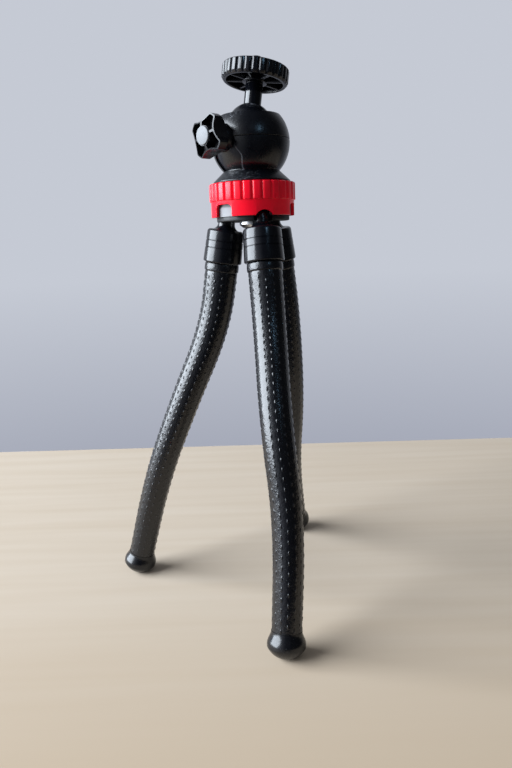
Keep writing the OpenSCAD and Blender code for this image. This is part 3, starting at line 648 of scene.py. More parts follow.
def finish(kind):
    """A finish by its kind, made when it is first asked for."""
    name = kind + "_finish"
    found = bpy.data.materials.get(name)
    if found:
        return found
    look = bpy.context.scene.tripod_finishes
    shell, sleeve, dust = tuple(look.shell), tuple(look.rubber), tuple(look.dust)
    by_knob = (HUB + Vector((-6.9, -11.9, 43.4)) * MM, 5 * MM, (0, 0.594, -0.145))
    front_of_cone = (HUB + Vector((-6, -14, 18)) * MM, 11 * MM, (0, 0, 0.3))
    front_of_ball = (BALL + POST_UP * 9.5 * MM + Vector((0, -4, 0)) * MM, 5 * MM, (1.1, 0.3, 0.2))
    over_disc = (0, 0.6, math.radians(-45))
    makers = {
        "shell_clean": lambda: plastic(name, shell, (0.16, 0.26), 0.010, dust, 0.06),
        # The housing also gets a painted highlight line along the recess under the knob
        "shell_housing": lambda: plastic(name, shell, (0.22, 0.34), 0.012, dust, 0.12, by_knob, painted_highlight=True),
        "shell_matt": lambda: plastic(name, shell, (0.5, 0.65), 0.02, dust, 0.1),
        "shell_knob": lambda: plastic(name, shell, (0.24, 0.34), 0.008, dust, 0.06),
        "shell_disc": lambda: plastic(name, shell, (0.18, 0.28), 0.010, dust, 0.08),
        "shell_dusty": lambda: plastic(name, shell, (0.24, 0.38), 0.012, dust, 0.3, front_of_cone),
        "post_black": lambda: plastic(name, shell, (0.08, 0.14), 0.004, dust, 0.05),
        "ball_black": lambda: plastic(name, shell, (0.24, 0.36), 0.010, dust, 0.12, front_of_ball),
        "leg_rubber": lambda: rubber(name, sleeve, (0.2, 0.3), 0.78, 0.05, dust, 0.58),
        "foot_rubber": lambda: rubber(name, sleeve, (0.20, 0.28), 0.7, 0.006, dust),
        "pad_rubber": lambda: rubber(name, tuple(c * 5 for c in sleeve), (0.6, 0.75), 0.4, 0.03, dust),
        "ring_red": lambda: plastic(name, tuple(look.red), (0.26, 0.36), 0.010, shine=0.35),
        "core_grey": lambda: plastic(name, tuple(look.grey), (0.45, 0.6), 0.03, shade=HUB.z + 2.7 * MM),
        "spine_grey": lambda: plastic(name, tuple(look.links), (0.45, 0.6), 0.03),
        "seat_white": lambda: plastic(name, tuple(look.pale), (0.4, 0.5), 0.02),
        "steel": lambda: metal(name, tuple(look.steel)),
        "knob_silver": lambda: metal(name, tuple(look.silver), (0.42, 0.6), over_disc, 10, 0.0),
    }
    return makers[kind]()


def dress(piece, look):
    """Give a piece its finish."""
    piece.data.materials.clear()
    piece.data.materials.append(finish(look))


def deliver(piece, look, slot, body, *nodes):
    """Finish a rigid piece: its look, the body it rides on and the nodes it stands for."""
    dress(piece, look)
    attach(piece, body)
    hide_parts(*nodes)


# Legs


def leg_line(leg, sizes):
    """The hinge, the three bends and the foot's centre of a leg."""
    bends = [spot(f"{leg}_bend_{k}") for k in (1, 2, 3)]
    aside = (Vector(MOUNTS[leg + "_foot_flat"]["pos_m"]) - bends[2]).xy / (sizes.last_link - sizes.sole_rise)
    down = Vector((*aside, -math.sqrt(1 - aside.length_squared)))
    return [spot(leg + "_hinge")] + bends + [bends[2] + down * sizes.last_link]


def sleeve_stops(leg, sizes):
    """The sleeve's top, the middles of its four stretches and its lower end."""
    hinge, *bends, foot = leg_line(leg, sizes)
    down = (bends[0] - hinge).normalized()
    first = bends[0] - down * sizes.first_link / 2
    middles = [first] + [(a + b) / 2 for a, b in zip(bends, bends[1:] + [foot])]
    return [hinge + down * sizes.shoulder_reach] + middles + [foot]


def bezier_length(a, b, c, steps=80):
    """Length of the curve from a to c that is drawn towards b."""
    shares = [k / steps for k in range(steps + 1)]
    points = [(1 - t) ** 2 * a + 2 * t * (1 - t) * b + t * t * c for t in shares]
    return sum((q - p).length for p, q in zip(points, points[1:]))


def sleeve_route(leg, sizes):
    """The curve that a sleeve follows, and the distances of its stops along it."""
    stops = sleeve_stops(leg, sizes)
    bends = leg_line(leg, sizes)[1:4]
    fresh()
    bpy.ops.curve.primitive_bezier_curve_add()
    route = named(leg + "_route")
    route.data.resolution_u = 48
    route.data.use_deform_bounds = False
    points = route.data.splines[0].bezier_points
    points.add(len(stops) - 2)
    marks = [0.0]
    for i, (point, stop) in enumerate(zip(points, stops)):
        point.handle_left_type = point.handle_right_type = "FREE"
        point.co = stop
        last, following = stops[max(i - 1, 0)], stops[min(i + 1, len(stops) - 1)]
        bent_before, bent_after = 2 <= i <= 4, 1 <= i <= 3
        point.handle_left = stop + ((bends[i - 2] - stop) * 2 / 3 if bent_before else (last - stop) / 3)
        point.handle_right = stop + ((bends[i - 1] - stop) * 2 / 3 if bent_after else (following - stop) / 3)
        if i:
            gone = bezier_length(last, bends[i - 2], stop) if bent_before else (stop - last).length
            marks.append(marks[-1] + gone)
    for point, mark in zip(points, marks):
        point.radius = 1 + (sizes.sleeve_low / sizes.sleeve_top - 1) * mark / marks[-1]
    settle(route, Matrix.Identity(4))
    return route, marks


def drawn_on(rings, level, radius):
    """Extrude the selected ring on through (level, radius) pairs."""
    for there, wanted in rings:
        bpy.ops.mesh.extrude_region_move(TRANSFORM_OT_translate={"value": (0, 0, there - level)})
        share = wanted / radius
        bpy.ops.transform.resize(value=(share, share, 1), center_override=(0, 0, there))
        level, radius = there, wanted


def tube(sides, radius, low, high):
    """Add an open tube up Z between two levels."""
    middle = (0, 0, (low + high) / 2)
    bpy.ops.mesh.primitive_cylinder_add(
        vertices=sides, radius=radius, depth=high - low, end_fill_type="NOTHING", location=middle
    )


def on_level(level):
    """A test for the edges that lie flat on a level."""
    return lambda middle, way: abs(middle.z - level) < NEAR and abs(way.z) < NEAR


def sleeve_stretch(name, sizes, low, high, pitch, top, end):
    """One straight stretch of sleeve up Z with whole rows of pips, and with the collar or the plain end."""
    sides = 4 * sizes.pip_columns
    lines = 2 * round((high - low) / pitch)
    row, skin = (high - low) / lines, low
    fresh()
    tube(sides, sizes.sleeve_top, low, high)
    piece = settle(named(name))
    choose(piece, "EDGE", lambda middle, way: abs(way.z) > row)
    bpy.ops.mesh.subdivide(number_cuts=lines - 1)

    def holds_pip(middle, normal):
        column = int(math.atan2(middle.y, middle.x) % math.tau / math.tau * sides)
        line = int((middle.z - skin) / row)
        plain = top and line < 1
        return column % 4 == 0 and (column // 4 + line) % 2 == 0 and not plain

    choose(piece, "FACE", holds_pip)
    for width, share in ((0.06 * MM, 0.2), (0.22 * MM, 0.8)):
        bpy.ops.mesh.inset(thickness=width, depth=sizes.pip_rise * share, use_individual=True)
    if top:
        choose(piece, "EDGE", on_level(low))
        rings = (
            (low - 0.1 * MM, sizes.sleeve_top - 0.3 * MM),
            (sizes.collar_height, sizes.collar - 0.1 * MM),
            (sizes.collar_height - 0.1 * MM, sizes.collar),
            (sizes.sleeve_gap + 0.45 * MM, sizes.collar),
            (sizes.sleeve_gap, sizes.collar - 0.4 * MM),
        )
        drawn_on(rings, low, sizes.sleeve_top)
        low = sizes.sleeve_gap
    if end:
        choose(piece, "EDGE", on_level(high))
        drawn_on(((end, sizes.sleeve_top),), high, sizes.sleeve_top)
        high = end
    bore = sizes.sleeve_top - sizes.sleeve_wall
    tube(sides, bore, low, high)
    bpy.ops.object.mode_set(mode="OBJECT")
    choose(piece, "EDGE", lambda middle, way: abs(way.z) > row and middle.xy.length < bore + NEAR)
    bpy.ops.mesh.subdivide(number_cuts=7)
    # An edge round the sleeve is shorter than this, and one across its wall is longer
    between = 1.2 * MM
    for level in (low, high):
        flat = on_level(level)
        choose(piece, "EDGE", flat)
        bpy.ops.mesh.bridge_edge_loops()
        choose(piece, "EDGE", lambda middle, way: flat(middle, way) and way.xy.length < between)
        bpy.ops.transform.edge_crease(value=1)
    bpy.ops.object.mode_set(mode="OBJECT")
    tidy(piece)
    return piece


class TRIPOD_OT_sleeves(Operator):
    """Make the three pebbled sleeves, each in three stretches laid along the leg's bends"""

    bl_idname = "tripod.sleeves"
    bl_label = "Sleeves"

    def execute(self, context):
        sizes = context.scene.tripod_legs
        skin = sizes.collar_height + sizes.collar_step
        foot_cover, plain_end = 3.8 * MM, 2.6 * MM
        for leg in LEGS:
            route, marks = sleeve_route(leg, sizes)
            ends = (0, 0, marks[-1] - foot_cover)
            levels = [skin, marks[2], marks[3], ends[2] - plain_end]
            for k in range(3):
                pitch = sizes.pip_pitch + (sizes.pip_pitch_low - sizes.pip_pitch) * k / 2
                name = f"{leg}_sleeve_skin_{k + 1}"
                piece = sleeve_stretch(name, sizes, levels[k], levels[k + 1], pitch, k == 0, ends[k])
                apply_modifier(piece, "SUBSURF", levels=1, render_levels=1)
                apply_modifier(piece, "CURVE", object=route, deform_axis="POS_Z")
                settle(smooth(piece, 50))
                dress(piece, "leg_rubber")
                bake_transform(piece)
                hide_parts(leg + "_sleeve")
            discard(route)
        return {"FINISHED"}


class TRIPOD_OT_shoulders(Operator):
    """Make the three glossy shoulders with their necks and hinge eyes"""

    bl_idname = "tripod.shoulders"
    bl_label = "Shoulders"

    def execute(self, context):
        s = context.scene.tripod_legs
        top, low = s.shoulder_height - s.shoulder_reach, -s.shoulder_reach

        def side(z):
            share = (top - z) / (s.shoulder_height - s.shoulder_edge)
            return s.shoulder_top + (s.shoulder_low - s.shoulder_top) * share

        # Shares of a groove's width and depth, from its lower edge up
        groove = ((-0.5, 0), (-0.12, 1), (0.12, 1), (0.5, 0))
        eye_round = 3 * MM
        corners = [(0, low), (s.shoulder_low, low, s.shoulder_edge)]
        for line in (1, 0):
            z = top - s.groove_first - line * s.groove_pitch
            for step, drop in groove:
                height = z + step * s.groove_width
                corners.append((side(height) - drop * s.groove_depth, height))
        corners += [(s.shoulder_top, top, s.shoulder_crown), (s.neck, top, s.neck_fillet)]
        corners += [(s.neck, s.eye, eye_round), (0, s.eye)]
        pattern = turned("shoulder_pattern", rounded(corners, 6), 72)
        across = Matrix.Rotation(math.pi / 2, 4, "Y")
        hole = rod("pin_hole", s.pin, 12 * MM, across @ Matrix.Translation((0, 0, -6 * MM)), 32)
        combine(pattern, hole, "DIFFERENCE")
        for leg in LEGS:
            hinge, bend = leg_line(leg, s)[:2]
            piece = copied(pattern, leg + "_shoulder_shell")
            settle(piece, pose(hinge, hinge - bend, heading(leg + "_hinge")))
            deliver(smooth(piece, 40), "shell_clean", "shell_black", leg + "_upper", leg + "_shoulder")
        discard(pattern)
        return {"FINISHED"}


class TRIPOD_OT_feet(Operator):
    """Make the three rubber feet with their flats and moulding lines"""

    bl_idname = "tripod.feet"
    bl_label = "Feet"

    def execute(self, context):
        s = context.scene.tripod_legs
        hole, floor, lip = s.sleeve_low + 0.1 * MM, 3.6 * MM, s.foot_wall + 1.8 * s.foot_edge
        low = s.sole_rise - math.sqrt(s.sole**2 - s.foot**2)
        sole = arc(s.sole, s.sole_rise - s.sole, low, 18, s.sole_rise)
        sole[0].x = 0
        start, thin, wide = 0.9 * MM, hole + 0.12 * MM, s.foot + 0.05 * MM
        swell = []
        for share in (k / 16 for k in range(17)):
            bulge = (1 + math.cos(math.pi * share)) / 2
            swell.append(Vector((thin + (wide - thin) * bulge, start + (lip - start) * share)))
        inside = [Vector((hole, lip - 0.05 * MM)), Vector((hole, floor)), Vector((0, floor))]
        pattern = turned("foot_pattern", sole + [Vector((wide, low + 0.5 * MM))] + swell + inside, 64)

        def on_skin(middle):
            return middle.z < floor - 0.1 * MM or middle.xy.length > hole + 0.05 * MM

        def on_parting(middle, way):
            return abs(middle.x) < NEAR and abs(way.x) < NEAR and on_skin(middle)

        choose(pattern, "EDGE", on_parting)
        bpy.ops.mesh.bevel(offset=s.foot_seam / 2, segments=1, affect="EDGES")
        bpy.ops.object.mode_set(mode="OBJECT")

        def on_seam(middle, normal):
            return abs(middle.x) < (s.foot_seam / 2 + NEAR) / 2 and on_skin(middle)

        choose(pattern, "FACE", on_seam)
        bpy.ops.transform.shrink_fatten(value=0.08 * MM)
        bpy.ops.object.mode_set(mode="OBJECT")
        for leg in LEGS:
            line = leg_line(leg, s)
            piece = copied(pattern, leg + "_foot_rubber")
            settle(piece, pose(line[4], line[3] - line[4], Vector((0.987, 0.163, 0))))
            choose(piece, "FACE", lambda middle, normal: True)
            bpy.ops.mesh.bisect(plane_co=(0, 0, 0), plane_no=(0, 0, 1), clear_inner=True, use_fill=True)
            bpy.ops.object.mode_set(mode="OBJECT")
            tidy(piece)
            deliver(smooth(piece, 50), "foot_rubber", "foot_rubber", leg + "_lower", leg + "_foot")
        discard(pattern)
        return {"FINISHED"}


# Hub


def leg_turn(leg):
    """Angle of a leg's hinge about the hub, from the front."""
    out = spot(leg + "_hinge") - HUB
    return math.atan2(out.x, -out.y)


def skirt_cut(outline, turn, low):
    """A cutter through the ring's skirt, from an outline of (across, up) pairs."""
    piece = prism("skirt_cut", outline, 7 * MM)
    stand = Matrix.Translation((0, -15.5 * MM, low)) @ Matrix.Rotation(math.pi / 2, 4, "X")
    return settle(piece, Matrix.Rotation(turn, 4, "Z") @ stand)


class TRIPOD_OT_lock_ring(Operator):
    """Make the red lock ring with its flutes, deep notches and shallow arches"""

    bl_idname = "tripod.lock_ring"
    bl_label = "Lock ring"

    def execute(self, context):
        s = context.scene.tripod_hub
        low = -s.skirt_drop
        loop = rounded(
            [
                (s.bore, low, 0.2 * MM),
                (s.skirt, low, 0.3 * MM),
                (s.skirt, s.band_low, 0.1 * MM),
                (s.ring, s.band_low, 0.25 * MM),
                (s.ring, s.ring_top, 0.7 * MM),
                (s.ledge, s.ring_top, 0.2 * MM),
                (s.ledge, s.ledge_height, 0.2 * MM),
                (s.bore, s.ledge_height, 0.2 * MM),
            ],
            3,
        )
        columns = 12
        ring = turned("lock_ring_shell", loop + loop[:1], s.flutes * columns)
        edge = (s.skirt + s.ring) / 2 - 0.2 * MM

        def on_band(co):
            return co.xy.length > edge and co.z > s.band_low - NEAR

        flute(ring, s.flutes, columns, bowl(s.flute_depth, s.flute_width), on_band, s.ring)
        half, up, below = s.notch_width / 2, s.notch_height, -2 * MM
        notch = [(-half, below), (-half, up, s.notch_corner), (half, up, s.notch_corner), (half, below)]
        deep = rounded(notch, 6)
        swell = ((s.arch_width / 2) ** 2 + s.arch_height**2) / (2 * s.arch_height)
        arch = [
            Vector((swell * math.sin(a), s.arch_height - swell + swell * math.cos(a)))
            for a in (math.radians(110) * (k / 14 - 1) for k in range(29))
        ]
        for leg in LEGS:
            turn = leg_turn(leg)
            combine(ring, skirt_cut(arch, turn, low), "DIFFERENCE")
            combine(ring, skirt_cut(deep, turn + math.pi / 3, low), "DIFFERENCE")
        soften(ring, 0.18 * MM, 2, 62)
        settle(ring, Matrix.Translation(HUB))
        deliver(smooth(ring, 40), "ring_red", "ring_red", "ring", "lock_ring")
        return {"FINISHED"}


class TRIPOD_OT_hub(Operator):
    """Make the conical collar, the bottom plate and the centre screw"""

    bl_idname = "tripod.hub"
    bl_label = "Hub"

    def execute(self, context):
        s = context.scene.tripod_hub
        base, top = s.collar_base, s.collar_base + s.collar_height
        cone = [
            (0, base),
            (s.collar_low - 0.2 * MM, base, 0.15 * MM),
            (s.collar_low, base + 0.7 * MM, 0.3 * MM),
            (s.collar_top + 0.3 * MM, top - 0.3 * MM, 0.3 * MM),
            (s.collar_top, top),
            (0, top),
        ]
        collar = settle(turned("head_collar_shell", rounded(cone, 3), 128), Matrix.Translation(HUB))
        deliver(smooth(collar), "shell_dusty", "shell_black", "hub", "head_collar")
        low = -s.plate_top - s.plate_thick
        disc = [(0, low), (s.plate, low, 0.5 * MM), (s.plate, -s.plate_top, 0.3 * MM), (0, -s.plate_top)]
        plate = turned("bottom_plate_shell", rounded(disc, 4), 128)
        reach = s.plate + 2 * MM - s.slot_inner
        at = Vector((0, -s.slot_inner - reach / 2, low))
        for leg in LEGS:
            slot = block("neck_slot", (s.slot_width, reach, 6 * MM))
            settle(slot, Matrix.Rotation(leg_turn(leg), 4, "Z") @ Matrix.Translation(at))
            combine(plate, slot, "DIFFERENCE")
        soften(plate, 0.25 * MM, 2, 60)
        settle(plate, Matrix.Translation(HUB))
        deliver(smooth(plate), "shell_matt", "shell_black", "hub", "bottom_plate")
        head = low - s.screw_height
        shape = [
            (0, head + 0.2 * MM),
            (0.7 * s.screw_head, head, 0.6 * MM),
            (s.screw_head, head + s.screw_height / 2, 0.5 * MM),
            (s.screw_head, low, 0.1 * MM),
            (s.screw_shank, low),
            (s.screw_shank, s.collar_base + 8 * MM),
            (0, s.collar_base + 8 * MM),
        ]
        screw = turned("centre_screw_head", rounded(shape, 4), 64)
        for turn in (0, math.pi / 2):
            slot = block("driver_slot", (5.2 * MM, 1.2 * MM, 3.2 * MM))
            settle(slot, Matrix.Translation((0, 0, head)) @ Matrix.Rotation(turn, 4, "Z"))
            combine(screw, slot, "DIFFERENCE")
        settle(screw, Matrix.Translation(HUB))
        deliver(smooth(screw), "steel", "steel", "hub", "centre_screw")
        return {"FINISHED"}


# Head


def knob_seat(out):
    """The place on the knob's axis at a distance from the hub's axis."""
    return pose(KNOB, KNOB_OUT, UP.cross(KNOB_OUT)) @ Matrix.Translation((0, 0, out))


def post_seat(rise):
    """The place on the post's axis at a height above the ball's centre."""
    return pose(BALL, POST_UP, Vector((POST_UP.x, POST_UP.y, 0))) @ Matrix.Translation((0, 0, rise))


class TRIPOD_OT_housing(Operator):
    """Make the two halves of the round housing, with the knob's boss and the recess under it"""

    bl_idname = "tripod.housing"
    bl_label = "Housing"

    def body_line(self, s, drop):
        """The outer line of the lower half, from its base to the seam."""
        return [Vector((s.base - drop, -s.rise))] + arc(s.housing - drop, s.foot - s.rise, 0, 22, -s.sink)

    def recess_outline(self):
        """The edge of the recess under the knob, as (across, up) pairs from the knob's axis."""
        foot, widest, neck = RECESS
        right = [(neck[1] - 0.6 * MM, 1.5 * MM)]
        for (low, wide), (high, narrow) in ((widest, neck), (foot, widest)):
            for share in (1 - k / 8 for k in range(8)):
                eased = share * share * (3 - 2 * share)
                right.append((wide + (narrow - wide) * eased, low + (high - low) * share))
        right.append((foot[1], foot[0]))
        return right + [(-x, y) for x, y in reversed(right)]

    def execute(self, context):
        s = context.scene.tripod_head
        seat = Matrix.Translation(HUB + UP * s.seam)
        gap = 0.1 * MM
        mouth_at = s.top - s.mouth_lip
        mouth = math.sqrt(s.cavity**2 - (mouth_at - s.ball_rise) ** 2)
        outer = arc(s.housing, gap, s.top, 28, -s.sink)
        edge = [tuple(outer[-2]), (*outer[-1], 0.6 * MM)]
        edge = rounded(edge + [(mouth + s.mouth_bevel, s.top, 0.25 * MM), (mouth, mouth_at)], 4)
        inner = arc(s.cavity, mouth_at, gap, 16, s.ball_rise)
        rim = outer[0].x
        low_edge = [Vector((rim - 0.2 * MM, gap)), Vector((rim - 0.02 * MM, gap + 0.18 * MM))]
        line = low_edge + outer[1:-2] + edge[:-1] + inner
        cap = turned("socket_cap_shell", line + line[:1], 128)
        settle(cap, seat)
        combine(cap, rod("boss_room", s.boss + gap, 14 * MM, knob_seat(8 * MM), 64), "DIFFERENCE")
        deliver(smooth(cap, 30), "shell_housing", "shell_black", "hub", "socket_cap")
        side = self.body_line(s, 0)
        room = arc(s.cavity, 0, s.ball_rise - s.cavity, 14, s.ball_rise)
        room[-1].x = 0
        seam_edge = [Vector((rim - 0.02 * MM, -0.18 * MM)), Vector((rim - 0.2 * MM, 0))]
        body = turned("socket_body_shell", [Vector((0, -s.rise))] + side[:-1] + seam_edge + room, 128)
        settle(body, seat)
        recess = settle(prism("recess", self.recess_outline(), 14 * MM), knob_seat(6 * MM))
        below, above = -s.rise - 2 * MM, 3 * MM
        kept = [Vector((0, below)), Vector((s.base - s.recess, below))] + self.body_line(s, s.recess)
        kept += [Vector((s.housing - s.recess, above)), Vector((0, above))]
        combine(recess, settle(turned("kept", kept, 128), seat), "DIFFERENCE")
        combine(body, recess, "DIFFERENCE")
        start = 10 * MM
        tip = s.boss_reach - start
        boss = turned("boss", rounded([(0, 0), (s.boss, 0), (s.boss, tip, 0.6 * MM), (0, tip)], 4), 64)
        combine(body, settle(boss, knob_seat(start)), "UNION")
        soften(body, 0.2 * MM, 2, 65)
        deliver(smooth(body, 30), "shell_housing", "shell_black", "hub", "socket_body")
        return {"FINISHED"}


class TRIPOD_OT_ball_and_post(Operator):
    """Make the ball, and the post with the threaded stud"""

    bl_idname = "tripod.ball_and_post"
    bl_label = "Ball and post"

    def execute(self, context):
        s = context.scene.tripod_head
        seat = post_seat(0)
        line = arc(s.ball, -s.ball, s.ball * 0.9, 40)
        line[0].x = 0
        well = s.post + 0.15 * MM
        rim = math.sqrt(s.ball**2 - well**2)
        floor = rim - 0.3 * MM
        line = [p for p in line if p.x > well or p.y < 0]
        line += [Vector((well, rim)), Vector((well, floor)), Vector((0, floor))]
        ball = settle(turned("ball_shell", line, 96), seat)
        deliver(smooth(ball), "ball_black", "ball_black", "ball", "ball")
        pad_top = s.disc_base + s.disc_height + s.pad_proud
        tip = pad_top + s.stud_height
        core = s.stud - 0.45 * MM
        corners = [
            (0, rim - 0.25 * MM),
            (s.post, rim - 0.25 * MM),
            (s.post, s.post_reach, 0.3 * MM),
            (s.shank, s.post_reach),
            (s.shank, pad_top - 0.4 * MM),
            (core, pad_top),
            (core, tip - 0.4 * MM),
            (core - 0.5 * MM, tip),
            (0, tip),
        ]
        post = turned("camera_post_shell", rounded(corners, 4), 64)
        root, half = core - 0.2 * MM, s.thread_pitch * 0.46
        start = pad_top + 0.1 * MM
        ridge = [(root, 0), (s.stud, half * 0.9), (s.stud, half * 1.1), (root, 2 * half), (root, 0)]
        thread = chain("thread", [Vector((r, 0, start + z)) for r, z in ridge])
        bpy.ops.mesh.select_all(action="SELECT")
        bpy.ops.mesh.remove_doubles(threshold=MERGE_REACH)
        bpy.ops.object.mode_set(mode="OBJECT")
        turns = {"iterations": 2, "steps": 48, "render_steps": 48, "screw_offset": s.thread_pitch}
        apply_modifier(thread, "SCREW", axis="Z", use_merge_vertices=False, **turns)
        choose(thread, "EDGE", lambda middle, way: False)
        bpy.ops.mesh.select_non_manifold(extend=False)
        bpy.ops.mesh.edge_face_add()
        bpy.ops.object.mode_set(mode="OBJECT")
        tidy(thread)
        combine(post, thread, "UNION")
        settle(post, seat)
        deliver(smooth(post, 30), "post_black", "post_black", "post", "camera_post")
        return {"FINISHED"}


class TRIPOD_OT_thumb_disc(Operator):
    """Make the fluted thumb disc with its ribs, and its rubber pad"""

    bl_idname = "tripod.thumb_disc"
    bl_label = "Thumb disc"

    def execute(self, context):
        s = context.scene.tripod_head
        seat = post_seat(s.disc_base)
        bore, ceiling, inner = s.stud + 0.05 * MM, s.disc_height - s.disc_top, s.disc - s.disc_rim
        sunk = s.disc_height - (s.pad_thick - s.pad_proud)
        loop = rounded(
            [
                (bore, 0),
                (s.disc_boss, 0, 0.3 * MM),
                (s.disc_boss, ceiling, 0.4 * MM),
                (inner, ceiling, 0.6 * MM),
                (inner, 0, 0.3 * MM),
                (s.disc - 0.9 * MM, 0, 0.3 * MM),
                (s.disc, 1.1 * MM, 0.3 * MM),
                (s.disc, s.disc_height, 0.5 * MM),
                (s.pad + 0.1 * MM, s.disc_height, 0.1 * MM),
                (s.pad + 0.1 * MM, sunk),
                (s.pad_bore - 0.1 * MM, sunk),
                (s.pad_bore - 0.1 * MM, s.disc_height, 0.1 * MM),
                (bore, s.disc_height),
            ],
            3,
        )
        columns = 10
        disc = turned("thumb_disc_shell", loop + loop[:1], s.disc_flutes * columns)

        def on_rim(co):
            return co.xy.length > s.disc - 0.25 * MM and co.z > 0.9 * MM

        flute(disc, s.disc_flutes, columns, bowl(s.disc_flute, s.disc_flute_width), on_rim, s.disc)
        reach = inner - s.disc_boss + 1.2 * MM
        at = Vector(((inner + s.disc_boss) / 2, 0, ceiling / 2 + 0.35 * MM))
        for k in range(s.disc_ribs):
            rib = block("rib", (reach, s.disc_rib, ceiling))
            soften(rib, 0.2 * MM, 2)
            settle(rib, Matrix.Rotation(math.tau * k / s.disc_ribs, 4, "Z") @ Matrix.Translation(at))
            combine(disc, rib, "UNION")
        settle(disc, seat)
        deliver(smooth(disc, 40), "shell_disc", "shell_black", "disc", "thumb_disc")
        low, high = sunk, s.disc_height + s.pad_proud
        loop = [(s.pad_bore, low, 0.1 * MM), (s.pad, low, 0.1 * MM)]
        loop = rounded(loop + [(s.pad, high, 0.35 * MM), (s.pad_bore, high, 0.35 * MM)], 4)
        pad = settle(turned("disc_pad_rubber", loop + loop[:1], 96), seat)
        deliver(smooth(pad), "pad_rubber", "pad_rubber", "disc", "disc_pad")
        return {"FINISHED"}


class TRIPOD_OT_clamp_knob(Operator):
    """Make the lobed clamp knob with its pockets, and its silver disc"""

    bl_idname = "tripod.clamp_knob"
    bl_label = "Clamp knob"

    def rim(self, s, turn, inset):
        """Radius of the lobed rim at an angle from a hollow's middle, drawn in by an amount."""
        whole, blend = s.knob - inset, 0.9 * MM
        away = s.knob - s.knob_hollow + s.knob_hollow_radius
        turn = (turn + math.pi / 4) % (math.pi / 2) - math.pi / 4
        inside = (s.knob_hollow_radius + inset) ** 2 - (away * math.sin(turn)) ** 2
        hollow = away * math.cos(turn) - math.sqrt(inside) if inside > 0 else 2 * whole
        share = max(0.0, min(1.0, 0.5 + (hollow - whole) / (2 * blend)))
        return hollow + (whole - hollow) * share - blend * share * (1 - share)

    def execute(self, context):
        s = context.scene.tripod_head
        seat = knob_seat(s.knob_start)
        lobes, depth, well, hub = 4, s.knob_depth, s.knob_disc + 0.08 * MM, s.knob_disc + s.knob_rim / 2
        floor = depth - s.knob_disc_thick / 2
        over = s.knob + 0.5 * MM
        slope = s.knob_drop / (s.knob - s.knob_disc)
        corners = [
            (0, 0),
            (s.knob_back, 0, 0.5 * MM),
            (over, over - s.knob_back),
            (over, depth - slope * (over - hub)),
            (hub, depth, 0.1 * MM),
            (well, depth, 0.02 * MM),
            (well, floor),
            (0, floor),
        ]
        knob = turned("clamp_knob_shell", rounded(corners, 4), 96)
        turns = [math.tau * k / 192 for k in range(192)]
        outline = [(self.rim(s, a, 0) * math.cos(a), self.rim(s, a, 0) * math.sin(a)) for a in turns]
        lobed = settle(prism("lobed", outline, depth + 4 * MM), Matrix.Translation((0, 0, -2 * MM)))
        combine(knob, lobed, "INTERSECT")
        spoke = math.radians(5.5)
        sweep = [spoke + (math.tau / lobes - 2 * spoke) * k / 24 for k in range(25)]
        pocket = [(self.rim(s, a, s.knob_rim), a) for a in sweep] + [(hub, a) for a in reversed(sweep)]
        for k in range(lobes):
            turn = math.tau * k / lobes
            line = [(r * math.cos(a + turn), r * math.sin(a + turn)) for r, a in pocket]
            tool = prism("pocket", line, s.knob_pocket + 2 * MM)
            combine(knob, settle(tool, Matrix.Translation((0, 0, depth - s.knob_pocket))), "DIFFERENCE")
        soften(knob, 0.16 * MM, 2, 45)
        settle(knob, seat @ Matrix.Rotation(s.knob_phase, 4, "Z"))
        deliver(smooth(knob, 40), "shell_knob", "shell_black", "knob", "clamp_knob")
        half = s.knob_disc_thick / 2
        low, high = depth - half + 0.02 * MM, depth + half
        dome = [(0, low), (s.knob_disc, low), (s.knob_disc, high - 0.1 * MM, 0.35 * MM), (0, high)]
        disc = settle(turned("knob_disc_face", rounded(dome, 4), 64), seat)
        deliver(smooth(disc), "knob_silver", "knob_silver", "knob", "knob_disc")
        return {"FINISHED"}


class TRIPOD_OT_inner_works(Operator):
    """Give the core, pins, seat, shoe, screw and spine links of the frame their finishes"""

    bl_idname = "tripod.inner_works"
    bl_label = "Inner works"

    def execute(self, context):
        looks = {
            "hub_core": "core_grey",
            "hinge_pins": "steel",
            "ball_seat": "seat_white",
            "brake_shoe": "seat_white",
            "knob_screw": "steel",
        }
        looks.update({f"{leg}_spine_{k}": "spine_grey" for leg in LEGS for k in (1, 2, 3, 4)})
        for name, look in looks.items():
            piece = NODES[name]
            piece.data.materials.clear()
            piece.data.materials.append(finish(look))
        return {"FINISHED"}


